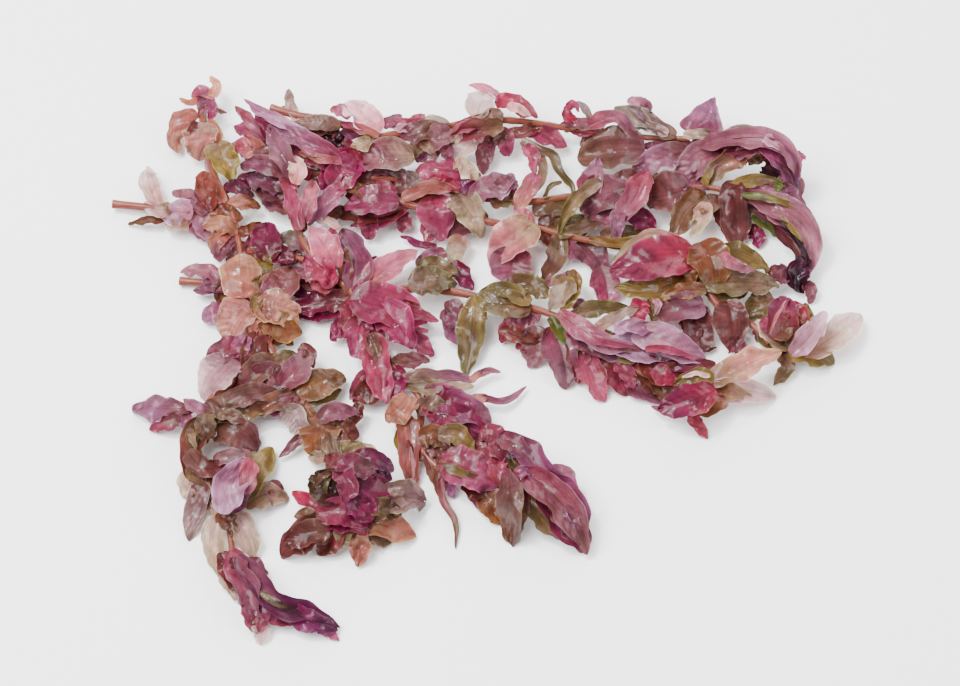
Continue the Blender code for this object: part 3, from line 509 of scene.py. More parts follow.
def lower_leaves():
    """The leaves of the stem that runs down the middle."""
    return [
        leaf("pink", 26, (334, 286, 10), (320, 270, 12), (305, 257, 9), rumple=1.1, base="red_pink"),
        leaf("pale_pink", 16, (331, 291, 9), (318, 283, 9), (307, 271, 6), rumple=0.8),
        leaf("mauve", 30, (350, 291, 9), (358, 264, 10), (342, 229, 7), fold=20, base="rose"),
        leaf("brown", 16, (346, 281, 10), (344, 262, 11), (341, 244, 9)),
        leaf("rose_brown", 18, (362, 286, 7), (368, 270, 7), (377, 257, 5)),
        leaf("rose", 14, (336, 262, 8), (334, 244, 9), (332, 226, 8)),
        leaf("clear", 9, (340, 229, 10), (328, 221, 10), (316, 222, 8)),
        leaf("magenta", 24, (350, 297, 7), (320, 303, 6), (288, 310, 4), wave=1.1, base="red_brown"),
        leaf("magenta", 18, (346, 300, 6), (325, 313, 4), (298, 316, 1)),
        leaf("magenta", 30, (268, 262, 8), (266, 242, 9), (268, 222, 7), blunt=0.8),
        leaf("magenta", 20, (294, 260, 8), (270, 252, 8), (247, 251, 6)),
        leaf("rose", 14, (258, 262, 7), (252, 250, 7), (250, 236, 5), base="red_brown"),
        leaf("grey", 20, (308, 248, 9), (292, 240, 9), (278, 238, 6), base="mauve"),
        leaf("mauve", 26, (330, 272, 7), (305, 269, 6), (280, 264, 4), base="lilac"),
        leaf("rose_brown", 24, (342, 288, 6), (314, 281, 5), (286, 277, 3)),
        leaf("magenta", 26, (345, 299, 5), (317, 294, 4), (286, 290, 2)),
        leaf("red_brown", 16, (302, 254, 8), (288, 256, 7), (274, 262, 5)),
        leaf("rose", 22, (353, 298, 10), (350, 318, 9), (342, 338, 6)),
        leaf("pink", 27, (362, 316, 9), (358, 340, 8), (362, 361, 5), wave=1.1),
        leaf("rose", 20, (352, 318, 6), (340, 330, 5), (330, 340, 3)),
        leaf("hot_pink", 30, (372, 334, 9), (377, 366, 10), (387, 404, 7), wave=1.1, base="rose"),
        leaf("brown", 12, (370, 333, 11), (376, 352, 11), (390, 376, 9)),
        leaf("hot_pink", 36, (372, 303, 9), (398, 325, 10), (411, 349, 7), wave=1.3, base="pink"),
        leaf("pink", 30, (362, 300, 8), (374, 322, 8), (376, 346, 6), base="rose"),
        leaf("pink", 12, (400, 305, 10), (418, 314, 9), (439, 321, 7)),
        leaf("red_brown", 13, (394, 304, 9), (410, 308, 9), (426, 316, 8)),
        leaf("pink", 7, (407, 326, 8), (417, 330, 7), (429, 331, 6)),
        leaf("rose", 18, (405, 334, 7), (420, 344, 5), (434, 356, 2), base="pink"),
        leaf("rose_brown", 26, (374, 356, 6), (386, 376, 6), (390, 396, 4)),
        leaf("rose", 26, (386, 378, 7), (366, 384, 5), (350, 400, 3), base="red_brown"),
        leaf("red_brown", 26, (386, 384, 6), (370, 392, 5), (352, 400, 3)),
        leaf("pink", 22, (388, 360, 8), (376, 368, 7), (362, 374, 5)),
        leaf("magenta", 22, (394, 366, 8), (396, 384, 8), (394, 402, 6)),
        leaf("rose_brown", 17, (391, 364, 8), (408, 361, 7), (430, 360, 4), base="brown"),
        leaf("mauve", 8, (470, 381, 4), (480, 374, 4), (490, 371, 4), (501, 372, 3), base="salmon"),
        leaf("mauve", 8, (463, 402, 5), (485, 399, 5), (500, 402, 4), (513, 397, 3), (527, 386, 2)),
        leaf("beige", 15, (405, 385, 8), (438, 388, 8), (474, 386, 5), base="tan"),
        leaf("lilac", 17, (424, 391, 8), (446, 392, 8), (471, 401, 5), base="mauve"),
        leaf("magenta", 26, (424, 394, 7), (446, 400, 7), (472, 407, 6)),
        leaf("salmon", 15, (459, 411, 7), (472, 404, 7), (487, 395, 5), base="tan"),
        leaf("tan", 18, (416, 412, 8), (432, 404, 9), (449, 410, 7)),
        leaf("mauve", 30, (438, 400, 8), (465, 409, 8), (492, 424, 5), base="magenta"),
        leaf("magenta", 36, (430, 408, 6), (458, 424, 6), (494, 438, 4)),
        leaf("magenta", 24, (446, 430, 5), (468, 442, 5), (492, 452, 4)),
        leaf("salmon", 27, (410, 396, 8), (402, 409, 9), (385, 420, 6), base="peach"),
        leaf("red_salmon", 22, (402, 412, 7), (409, 440, 6), (412, 494, 1), base="salmon"),
        leaf("red_brown", 20, (410, 420, 5), (420, 446, 5), (432, 466, 4), base="orange"),
        leaf("gold", 12, (405, 428, 5), (400, 440, 4), (402, 458, 2)),
        leaf("gold", 21, (438, 436, 8), (455, 435, 9), (475, 453, 6), base="tan"),
        leaf("brown", 23, (419, 438, 7), (435, 436, 8), (452, 448, 6), base="orange"),
        leaf("rose_brown", 20, (424, 448, 6), (440, 450, 6), (456, 462, 5)),
        leaf("brown", 18, (427, 450, 6), (436, 472, 5), (441, 498, 3), base="red_brown"),
        leaf("brown", 7, (440, 478, 5), (444, 503, 3), (455, 521, 2), (456, 549, 0.4), base="rose"),
        leaf("lilac", 13, (443, 476, 5), (450, 487, 3), (454, 498, 1), base="rose"),
        leaf("gold", 9, (436, 465, 8), (455, 471, 9), (484, 484, 7), base="olive"),
        leaf("olive", 13, (460, 476, 8), (472, 480, 8), (486, 486, 6)),
        leaf("red_brown", 20, (462, 484, 5), (480, 492, 4), (500, 503, 2)),
        leaf("lilac", 11, (469, 494, 3), (485, 508, 2), (503, 525, 0.6), base="pink"),
        leaf("orange", 24, (484, 492, 4), (492, 508, 3), (502, 524, 1), base="brown"),
        leaf("rose", 24, (508, 448, 8), (495, 437, 8), (479, 430, 6), base="magenta"),
        leaf("pink", 26, (511, 463, 8), (502, 445, 9), (491, 429, 6), base="rose"),
        leaf("rose", 24, (500, 470, 6), (490, 452, 6), (476, 440, 5)),
        leaf("pink", 20, (504, 486, 8), (498, 470, 9), (498, 454, 7)),
        leaf("dusty", 14, (521, 486, 9), (522, 508, 8), (518, 536, 4), pleat=0.3, rumple=0.1,
             base="rose"),
        leaf("orange", 20, (506, 494, 5), (508, 516, 4), (508, 542, 1), base="tan"),
        leaf("olive", 17, (507, 457, 9), (516, 462, 9), (527, 456, 7), base="dark"),
        leaf("olive", 16, (514, 478, 7), (510, 468, 8), (506, 456, 7), base="brown"),
        leaf("lilac", 11, (516, 476, 11), (523, 471, 12), (533, 470, 10), base="pink"),
    ]


def left_leaves():
    """The leaves of the left stem below the crown, and of the side stem to the rosette."""
    return [
        leaf("gold", 13, (257, 257, 8), (264, 262, 8), (273, 271, 6), base="orange"),
        leaf("rose_brown", 34, (264, 302, 8), (280, 288, 9), (292, 268, 6), blunt=0.8, base="mauve"),
        leaf("salmon", 17, (262, 292, 8), (270, 283, 9), (284, 279, 7), base="tan"),
        leaf("olive", 14, (252, 288, 8), (262, 282, 8), (272, 274, 6), base="gold"),
        leaf("gold", 13, (258, 313, 9), (256, 303, 10), (264, 292, 9), cup=50),
        leaf("peach", 34, (256, 310, 9), (276, 305, 11), (299, 313, 8), cup=-30, pleat=0.3, blunt=0.7,
             base="salmon"),
        leaf("orange", 30, (262, 312, 8), (282, 328, 7), (302, 334, 4), base="tan"),
        leaf("orange", 22, (264, 318, 7), (278, 334, 5), (294, 344, 3), base="brown"),
        leaf("brown", 20, (262, 296, 7), (252, 288, 7), (246, 276, 6), base="red_brown"),
        leaf("salmon", 12, (260, 312, 9), (254, 322, 9), (253, 336, 6), base="peach"),
        leaf("red_salmon", 12, (264, 318, 8), (266, 334, 7), (268, 352, 5)),
        leaf("brown", 16, (256, 316, 7), (262, 330, 6), (262, 346, 4)),
        leaf("lilac", 21, (225, 309, 5), (213, 314, 4), (202, 320, 2)),
        leaf("rose", 18, (246, 336, 8), (240, 350, 8), (238, 362, 5), base="lilac"),
        leaf("red_brown", 26, (258, 332, 7), (254, 354, 7), (246, 378, 5)),
        leaf("mauve", 26, (240, 342, 7), (222, 353, 7), (206, 364, 4), base="rose"),
        leaf("red_brown", 16, (240, 378, 5), (232, 388, 4), (224, 396, 3)),
        leaf("brown", 27, (243, 388, 5), (258, 370, 8), (280, 356, 8), rumple=0.1, base="rose_brown"),
        leaf("rose_brown", 28, (247, 385, 5), (268, 375, 8), (290, 380, 6), pleat=0.2, rumple=0.1),
        leaf("rose_brown", 18, (262, 360, 7), (272, 368, 6), (284, 380, 4)),
        leaf("olive", 21, (272, 372, 7), (283, 361, 9), (300, 357, 7), base="brown"),
        leaf("lilac", 27, (281, 386, 7), (296, 372, 9), (309, 350, 7), rumple=0.1, base="rose"),
        leaf("rose_brown", 13, (299, 347, 8), (309, 353, 8), (314, 368, 6)),
        leaf("orange", 18, (296, 392, 5), (306, 384, 6), (316, 372, 5)),
        leaf("olive", 18, (293, 396, 6), (315, 399, 6), (342, 390, 3), base="tan"),
        leaf("rose_brown", 22, (218, 408, 8), (246, 395, 9), (284, 394, 6), rumple=0.1, base="dusty"),
        leaf("brown", 18, (250, 413, 6), (280, 400, 7), (303, 386, 6), base="orange"),
        leaf("mauve", 18, (304, 402, 6), (285, 408, 6), (262, 412, 5)),
        leaf("red_brown", 20, (312, 404, 5), (296, 396, 5), (278, 392, 4), base="brown"),
        leaf("rose_brown", 34, (214, 424, 6), (236, 434, 7), (257, 450, 3), blunt=0.7, rumple=0.1,
             base="brown"),
        leaf("dusty", 13, (218, 414, 9), (232, 416, 10), (248, 424, 7), rumple=0.8, base="tan"),
        leaf("mauve", 26, (232, 426, 5), (246, 436, 4), (257, 452, 2)),
        leaf("tan", 18, (204, 408, 8), (220, 408, 9), (240, 416, 7), rumple=0.6),
        leaf("clear", 24, (284, 408, 7), (296, 420, 7), (300, 438, 4), pleat=0.3, base="tan"),
        leaf("tan", 16, (296, 400, 6), (304, 412, 6), (310, 424, 5)),
        leaf("orange", 10, (300, 401, 7), (308, 410, 7), (316, 421, 6)),
        leaf("beige", 20, (341, 442, 6), (326, 455, 5), (308, 458, 2), base="tan"),
        leaf("mauve", 18, (317, 420, 8), (338, 411, 9), (360, 414, 6), base="rose_brown"),
        leaf("red_brown", 22, (332, 424, 6), (344, 430, 6), (359, 437, 3), base="brown"),
        leaf("red_brown", 14, (360, 404, 6), (354, 418, 5), (342, 430, 4)),
        leaf("rose_brown", 10, (308, 432, 5), (294, 444, 4), (279, 458, 2)),
        leaf("rose", 17, (188, 419, 4), (168, 422, 4), (149, 430, 0.6), rumple=0.1, base="dusty"),
        leaf("lilac", 13, (212, 413, 7), (197, 408, 8), (183, 399, 5), rumple=0.1, blunt=0.1,
             base="mauve"),
        leaf("mauve", 14, (186, 408, 5), (186, 420, 5), (188, 432, 4)),
        leaf("red_brown", 29, (206, 418, 6), (194, 440, 7), (193, 464, 5), (204, 490, 2), cup=50,
             base="brown"),
        leaf("brown", 20, (206, 414, 9), (206, 430, 10), (206, 444, 7), rumple=0.1, base="tan"),
        leaf("olive", 12, (198, 424, 10), (192, 436, 10), (196, 450, 7), rumple=0.1, base="brown"),
        leaf("beige", 7, (190, 430, 10), (193, 440, 11), (196, 449, 9)),
        leaf("red_brown", 20, (187, 452, 7), (204, 468, 8), (232, 466, 6), rumple=0.1, base="brown"),
        leaf("brown", 16, (188, 466, 6), (202, 478, 6), (222, 476, 4), pleat=0.3, base="tan"),
        leaf("dusty", 14, (214, 462, 7), (228, 456, 8), (246, 454, 6), rumple=0.1),
        leaf("brown", 18, (223, 467, 5), (214, 482, 5), (212, 500, 2), base="orange"),
        leaf("rose_brown", 18, (196, 478, 5), (202, 494, 4), (206, 510, 2), base="clear"),
        leaf("clear", 24, (203, 470, 4), (190, 482, 3), (184, 498, 1), base="lilac"),
        leaf("clear", 14, (214, 482, 4), (218, 498, 3), (214, 512, 2)),
        leaf("mauve", 15, (219, 463, 6), (235, 456, 6), (254, 456, 5)),
        leaf("lilac", 32, (222, 514, 10), (230, 488, 12), (246, 458, 11), rumple=0.7, base="pale_lilac"),
        leaf("pink", 18, (246, 494, 11), (249, 474, 13), (247, 456, 12), rumple=0.5, base="lilac"),
        leaf("rose", 20, (226, 496, 6), (230, 480, 7), (226, 466, 5), base="mauve"),
        leaf("dusty", 24, (244, 505, 4), (266, 495, 4), (289, 499, 1), wave=1.0, rumple=0.1, base="tan"),
        leaf("rose_brown", 12, (262, 492, 4), (274, 486, 4), (284, 490, 2)),
        leaf("beige", 15, (204, 494, 3), (211, 506, 3), (218, 520, 2)),
        leaf("beige", 23, (224, 513, 4), (213, 540, 3), (224, 582, 1), cup=45, base="clear"),
        leaf("beige", 26, (236, 513, 4), (246, 532, 4), (254, 562, 1), cup=45, base="clear"),
        leaf("brown", 18, (219, 512, 6), (228, 522, 6), (234, 536, 5), base="orange"),
    ]


TIP_LEAVES = {
    "tip_top": [
        leaf("lilac", 25, (700, 146, 13), (738, 140, 20), (770, 142, 24), (792, 158, 20), (798, 182, 9),
             cup=60, base="mauve"),
        leaf("mauve", 22, (712, 150, 13), (745, 147, 19), (775, 152, 21), (791, 168, 16), (797, 195, 4),
             cup=60, base="rose"),
        leaf("magenta", 14, (716, 143, 14), (736, 142, 19), (756, 142, 22), base="rose"),
        leaf("grey", 11, (722, 136, 17), (742, 130, 21), (762, 130, 22), rumple=0.6, base="lilac"),
        leaf("rose", 15, (712, 148, 12), (732, 148, 15), (750, 146, 18)),
        leaf("lilac", 26, (753, 141, 22), (775, 153, 22), (788, 172, 15), (792, 195, 4), cup=40,
             pleat=0.2, base="pink"),
        leaf("dark", 24, (766, 150, 16), (772, 164, 12), (766, 182, 5), cup=40, base="red_brown"),
        leaf("red_brown", 10, (748, 163, 9), (766, 158, 12), (774, 166, 11)),
        leaf("lilac", 16, (764, 138, 25), (784, 148, 22), (801, 164, 14), rumple=0.6, base="pale_lilac"),
        leaf("pink", 13, (790, 160, 16), (797, 158, 16), (804, 154, 14), blunt=0.9, base="lilac"),
        leaf("lilac", 16, (764, 140, 22), (748, 149, 20), (734, 158, 15), base="pink"),
        leaf("rose_brown", 14, (760, 160, 12), (748, 158, 12), (736, 164, 9), base="olive"),
        leaf("lilac", 16, (786, 176, 8), (796, 186, 6), (799, 200, 2), base="pink"),
        leaf("mauve", 20, (778, 172, 8), (788, 184, 7), (796, 196, 3)),
    ],
    "tip_hook": [
        leaf("lilac", 27, (746, 196, 12), (778, 208, 15), (803, 224, 13), (812, 248, 8), (810, 276, 2),
             cup=40, base="mauve"),
        leaf("lilac", 22, (770, 199, 13), (796, 212, 13), (818, 234, 8), base="tan"),
        leaf("rose_brown", 20, (748, 202, 9), (773, 220, 9), (793, 246, 6), (806, 274, 2), cup=60,
             base="mauve"),
        leaf("rose", 17, (762, 204, 13), (781, 219, 14), (798, 240, 10), base="pale_lilac"),
        leaf("dark", 7, (778, 222, 14), (794, 236, 13), (806, 256, 10), (808, 270, 6)),
        leaf("gold", 6, (776, 214, 15), (790, 226, 15), (802, 242, 13)),
        leaf("olive", 13, (732, 185, 12), (760, 180, 13), (786, 185, 13), base="gold"),
        leaf("lilac", 14, (746, 188, 11), (768, 187, 12), (790, 192, 11)),
        leaf("mauve", 12, (770, 184, 10), (788, 190, 11), (806, 206, 9)),
        leaf("green", 9, (772, 180, 13), (778, 186, 13), (776, 193, 12)),
        leaf("gold", 8, (742, 195, 15), (775, 200, 17), (804, 210, 15), base="green"),
        leaf("dark", 22, (806, 258, 6), (798, 276, 6), (803, 294, 2), cup=50, base="purple"),
        leaf("purple", 18, (800, 262, 5), (794, 276, 5), (797, 292, 2)),
        leaf("mauve", 13, (805, 282, 4), (811, 292, 3), (809, 304, 1)),
        leaf("red_brown", 13, (728, 192, 12), (746, 196, 13), (764, 204, 12)),
    ],
    "tip_lower": [
        leaf("mauve", 27, (498, 436, 9), (521, 449, 11), (548, 478, 10), (576, 508, 7), cup=40,
             base="magenta"),
        leaf("mauve", 20, (502, 436, 11), (518, 448, 12), (534, 466, 10), rumple=0.1, base="rose"),
        leaf("mauve", 35, (524, 472, 10), (550, 491, 12), (570, 516, 9), (588, 554, 3), cup=45,
             pleat=0.25, rumple=0.1, base="rose"),
        leaf("mauve", 24, (543, 474, 10), (567, 493, 10), (580, 515, 7), (588, 545, 3), cup=45,
             base="magenta"),
        leaf("rose", 22, (540, 492, 9), (553, 514, 8), (568, 536, 5), (586, 552, 1), cup=45,
             base="magenta"),
        leaf("lilac", 12, (556, 506, 10), (563, 520, 9), (576, 540, 5), rumple=0.1, base="mauve"),
        leaf("tan", 27, (522, 486, 8), (536, 508, 7), (562, 540, 2), base="brown"),
        leaf("mauve", 24, (552, 500, 10), (566, 520, 8), (584, 546, 4), base="lilac"),
        leaf("hot_pink", 6, (512, 491, 9), (520, 484, 10), (529, 482, 9)),
        leaf("lilac", 17, (548, 470, 9), (565, 476, 9), (577, 492, 7), base="mauve"),
    ],
    "tip_left": [
        leaf("mauve", 26, (232, 550, 5), (240, 575, 6), (250, 598, 6), (255, 632, 2), cup=50,
             base="rose"),
        leaf("purple", 27, (238, 556, 6), (255, 582, 7), (280, 606, 6), (310, 613, 4), (341, 627, 1.5),
             cup=60, base="mauve"),
        leaf("rose", 30, (246, 590, 6), (256, 608, 5), (256, 634, 2), base="mauve"),
        leaf("mauve", 15, (246, 560, 5), (258, 569, 4), (266, 583, 2)),
        leaf("dark", 7, (260, 592, 8), (280, 605, 8), (302, 614, 6), base="olive"),
        leaf("rose", 22, (254, 602, 5), (280, 616, 4), (302, 620, 2), base="mauve"),
        leaf("purple", 23, (286, 608, 5), (310, 622, 4), (338, 630, 2), base="magenta"),
        leaf("clear", 18, (262, 616, 4), (262, 630, 2), (261, 645, 0.6)),
        leaf("pink", 10, (317, 628, 2), (330, 633, 1.5), (339, 641, 0.6), base="lilac"),
        leaf("beige", 14, (222, 560, 4), (225, 575, 3), (236, 600, 2), base="clear"),
        leaf("red_brown", 16, (222, 552, 5), (228, 572, 5), (236, 592, 3)),
    ],
    "tip_right": [
        leaf("rose", 36, (786, 342, 8), (781, 321, 12), (787, 297, 11), cup=45, rumple=0.1,
             base="red_salmon"),
        leaf("pale_pink", 3, (770, 334, 14), (776, 318, 16), (786, 300, 14), rumple=0.1),
        leaf("rose", 24, (790, 338, 10), (776, 327, 11), (760, 321, 8), rumple=0.1, base="brown"),
        leaf("red_pink", 22, (796, 332, 10), (797, 316, 12), (790, 301, 11), base="red_salmon"),
        leaf("olive", 24, (784, 350, 7), (800, 332, 8), (806, 303, 7), base="brown"),
        leaf("gold", 12, (794, 346, 8), (807, 325, 9), (808, 306, 8), base="olive"),
        leaf("pale_lilac", 22, (791, 355, 10), (808, 338, 12), (826, 311, 10), rumple=0.1, base="lilac"),
        leaf("clear", 31, (816, 348, 6), (838, 333, 7), (862, 316, 3), pleat=0.35, base="beige"),
        leaf("clear", 24, (800, 352, 5), (822, 346, 6), (846, 334, 3)),
        leaf("olive", 27, (787, 352, 6), (812, 354, 5), (835, 362, 1), base="gold"),
        leaf("tan", 15, (779, 349, 5), (787, 367, 3), (773, 386, 0.6), base="rose_brown"),
        leaf("clear", 18, (790, 349, 7), (774, 338, 8), (756, 320, 6), base="olive"),
        leaf("olive", 22, (786, 352, 5), (770, 340, 6), (762, 324, 5)),
    ],
    "tip_rosette": [
        leaf("umber", 38, (346, 498, 10), (328, 488, 12), (314, 474, 10), cup=60, pleat=0.3, base="dark"),
        leaf("brown", 6, (336, 470, 14), (323, 476, 15), (314, 486, 12), rumple=0.1),
        leaf("olive", 4, (332, 474, 14), (326, 484, 14), (326, 500, 11), rumple=0.1, base="brown"),
        leaf("dark", 30, (348, 492, 8), (336, 480, 9), (324, 470, 7)),
        leaf("dark", 40, (350, 500, 7), (358, 486, 8), (374, 478, 6)),
        leaf("red_brown", 18, (344, 474, 14), (335, 464, 14), (326, 455, 11), base="rose"),
        leaf("rose_brown", 24, (338, 462, 15), (356, 467, 16), (377, 469, 13), rumple=0.1, base="rose"),
        leaf("purple", 20, (352, 459, 13), (374, 459, 14), (394, 471, 10), rumple=0.1, base="magenta"),
        leaf("purple", 18, (362, 474, 11), (378, 474, 11), (392, 480, 8), base="dark"),
        leaf("rose", 22, (338, 468, 16), (348, 484, 17), (344, 503, 13), base="magenta"),
        leaf("magenta", 28, (352, 484, 14), (374, 490, 12), (396, 490, 8), rumple=0.1, base="purple"),
        leaf("magenta", 27, (316, 514, 9), (345, 513, 11), (371, 526, 7), rumple=0.1, base="rose"),
        leaf("magenta", 18, (321, 521, 8), (350, 524, 9), (372, 532, 6)),
        leaf("magenta", 28, (346, 496, 14), (360, 506, 12), (372, 522, 8), base="purple"),
        leaf("red_pink", 14, (321, 510, 8), (308, 501, 8), (292, 492, 5), base="magenta"),
        leaf("red_brown", 34, (333, 520, 7), (306, 535, 6), (280, 556, 1), wave=1.2, base="brown"),
        leaf("red_brown", 25, (330, 530, 8), (308, 534, 8), (284, 543, 5), rumple=0.1, base="brown"),
        leaf("brown", 14, (320, 524, 8), (307, 515, 8), (294, 517, 6), base="tan"),
        leaf("red_brown", 26, (330, 520, 7), (331, 538, 5), (319, 556, 1), base="red_pink"),
        leaf("tan", 18, (348, 520, 8), (344, 534, 7), (340, 548, 4)),
        leaf("salmon", 28, (359, 518, 7), (386, 526, 6), (416, 537, 1), rumple=0.1, base="tan"),
        leaf("salmon", 21, (354, 526, 7), (360, 546, 5), (358, 567, 1), rumple=0.8, base="tan"),
        leaf("tan", 26, (362, 526, 6), (376, 534, 4), (392, 542, 1)),
        leaf("dusty", 33, (378, 504, 8), (402, 497, 9), (426, 501, 3), blunt=0.8, rumple=0.9, base="tan"),
        leaf("umber", 21, (370, 508, 10), (384, 509, 10), (402, 514, 6), base="olive"),
        leaf("tan", 16, (337, 456, 10), (350, 449, 10), (366, 446, 7), rumple=0.7, base="olive"),
        leaf("tan", 15, (323, 434, 9), (331, 446, 11), (342, 458, 11), rumple=0.7, base="brown"),
        leaf("beige", 15, (346, 457, 10), (362, 450, 10), (382, 458, 7), base="tan"),
    ],
    "tip_small": [
        leaf("peach", 11, (202, 93, 7), (212, 94, 9), (217, 86, 10), (210, 76, 8), base="salmon"),
        leaf("pink", 11, (210, 93, 8), (201, 91, 9), (191, 97, 6), base="lilac"),
        leaf("mauve", 11, (203, 96, 8), (202, 108, 8), (201, 121, 6), base="purple"),
        leaf("rose", 13, (206, 98, 8), (212, 110, 9), (210, 122, 6), base="mauve"),
        leaf("brown", 5, (212, 107, 8), (219, 111, 8), (227, 113, 6)),
    ],
}


def place(across, down, height):
    """The point at a height in mm that the view shows at a pixel."""
    forward = np.array([0, math.cos(VIEW_ELEVATION), -math.sin(VIEW_ELEVATION)])
    upward = np.array([0, math.sin(VIEW_ELEVATION), math.cos(VIEW_ELEVATION)])
    eye = AIM - forward * VIEW_DISTANCE
    ray = forward * VIEW_DISTANCE
    ray = ray + np.array([1, 0, 0]) * (across - PICTURE_MIDDLE[0]) * PIXEL_SIZE
    ray = ray + upward * (PICTURE_MIDDLE[1] - down) * PIXEL_SIZE
    return eye + ray * ((height * MM - eye[2]) / ray[2])


def smooth_points(points, along):
    """Points on a smooth curve through the given ones, at steps from 0 to 1 of its length."""
    points = np.array(points)
    padded = np.vstack([points[0] * 2 - points[1], points, points[-1] * 2 - points[-2]])
    lengths = np.linalg.norm(np.diff(points, axis=0), axis=1)
    ends = np.concatenate([[0], np.cumsum(lengths)])
    places = along * ends[-1]
    stretch = np.clip(np.searchsorted(ends, places, side="right") - 1, 0, len(lengths) - 1)
    t = ((places - ends[stretch]) / lengths[stretch])[:, None]
    before, start, end, after = (padded[stretch + i] for i in range(4))
    curve = start * 2 + (end - before) * t
    curve = curve + (before * 2 - start * 5 + end * 4 - after) * t ** 2
    return (curve + (start * 3 - before - end * 3 + after) * t ** 3) / 2


def steps_along():
    """Steps from the base to the tip, closer together at both ends so that they come out round."""
    even = np.linspace(0, 1, LEAF_ROWS + 1)
    return even * 0.45 + (1 - np.cos(math.pi * even)) / 2 * 0.55


def steps_across():
    return np.linspace(-1, 1, LEAF_COLUMNS + 1)


def unit(vectors):
    return vectors / np.maximum(np.linalg.norm(vectors, axis=-1, keepdims=True), 1e-12)


def half_widths(spec, along):
    """Half the blade's width along it: pointed, or rounder at the tip where the leaf is blunt."""
    width = spec["width"] * PIXEL_SIZE
    swell = np.sin(np.pi * np.clip(along, 0, 1) ** spec["early"])
    swell = np.clip(swell, 0, 1) ** (0.85 - 0.4 * spec["blunt"])
    stalk = min(1.6 * MM, width * 0.4)
    return (stalk * (1 - along) ** 3 + width * swell) / 2 + 0.04 * MM


def uneven_margins(rng, along):
    """How much further out or in each margin runs than the plain outline, for a less regular leaf."""
    margins = []
    for _ in range(2):
        slow = 0.08 * np.sin(math.tau * (rng.uniform(0.8, 1.6) * along + rng.uniform(0, 1)))
        quick = 0.02 * np.sin(math.tau * (rng.uniform(3.0, 5.5) * along + rng.uniform(0, 1)))
        margins.append(1 + (slow + quick) * np.sin(math.pi * along))
    reach = np.clip(steps_across(), -1, 1)[None, :]
    return np.where(reach < 0, margins[0][:, None], margins[1][:, None])


def leaf_random(spec):
    """The leaf's own random numbers, which depend only on where it starts and ends."""
    start, end = spec["path"][0], spec["path"][-1]
    return np.random.default_rng(int(start[0] * 7 + start[1] * 911 + end[0] * 13 + end[1] * 1777))


def swept_blade(spec):
    """The grid of points of a blade swept along its path."""
    along = steps_along()
    across = steps_across()
    middle = smooth_points([place(*point) for point in spec["path"]], along)
    tangent = unit(np.gradient(middle, axis=0))
    side = unit(np.cross(tangent, FACING))
    normal = np.cross(side, tangent)
    angle = np.radians(spec["roll"] + spec["twist"] * along)[:, None]
    side, normal = (side * np.cos(angle) + normal * np.sin(angle),
                    normal * np.cos(angle) - side * np.sin(angle))
    bend = math.radians(spec["cup"])
    bend = bend if abs(bend) > 0.02 else 0.02
    out = np.sin(bend * across) / bend
    up = (1 - np.cos(bend * across)) / bend + np.abs(across) * math.sin(math.radians(spec["fold"]))
    half = (half_widths(spec, along)[:, None] * uneven_margins(leaf_random(spec), along))[:, :, None]
    grid = middle[:, None] + side[:, None] * out[None, :, None] * half
    return grid + normal[:, None] * up[None, :, None] * half


def blade_on_node(spec, tree):
    """The grid of points of a blade that lies where its solid lies."""
    along = steps_along()
    across = steps_across()
    start, end = (place(*point) for point in spec["path"])
    side = unit(np.cross(end - start, np.array([0, 0, 1.0])))
    half = half_widths(spec, along)
    margins = uneven_margins(leaf_random(spec), along)
    grid = np.zeros((LEAF_ROWS + 1, LEAF_COLUMNS + 1, 3))
    for i, step in enumerate(along):
        for j, reach in enumerate(across):
            point = start * (1 - step) + end * step + side * reach * half[i] * margins[i, j]
            inner = start * (1 - step) + end * step + side * reach * half[i] * 0.85
            hit = tree.ray_cast(Vector((point[0], point[1], 1)), Vector((0, 0, -1)))[0]
            hit = hit or tree.ray_cast(Vector((inner[0], inner[1], 1)), Vector((0, 0, -1)))[0]
            hit = hit or tree.find_nearest(Vector(point))[0]
            grid[i, j] = (point[0], point[1], hit.z)
    for _ in range(3):
        grid[1:-1, :, 2] = (grid[:-2, :, 2] + grid[1:-1, :, 2] * 2 + grid[2:, :, 2]) / 4
        grid[:, 1:-1, 2] = (grid[:, :-2, 2] + grid[:, 1:-1, 2] * 2 + grid[:, 2:, 2]) / 4
    lift = ((1 - np.cos(math.radians(spec["cup"]) * across))
            + np.abs(across) * math.sin(math.radians(spec["fold"])))
    grid[:, :, 2] += lift[None, :] * half[:, None] * np.sign(spec["cup"] or 1)
    return grid


def wobble(rng, along, across, waves):
    """A smooth random height over a blade, between about -1 and 1."""
    total = np.zeros((len(along), len(across)))
    for _ in range(waves):
        turns_along = rng.uniform(0.6, 3.2)
        turns_across = rng.uniform(-1.0, 1.0)
        phase = rng.uniform(0, math.tau)
        total += np.sin(math.tau * (turns_along * along[:, None] + turns_across * across[None, :]) + phase)
    return total / math.sqrt(waves) / 1.2


def creases(rng, along, across):
    """Sharp ridges in a few directions over a blade, between 0 and 1, as a crumpled thin film has."""
    total = np.zeros((len(along), len(across)))
    for _ in range(3):
        turns_along = rng.uniform(0.8, 2.6)
        turns_across = rng.uniform(-1.1, 1.1)
        phase = rng.uniform(0, math.pi)
        ridge = np.sin(math.pi * (turns_along * along[:, None] + turns_across * across[None, :]) + phase)
        total += (1 - np.abs(ridge)) ** 2
    return total / 3


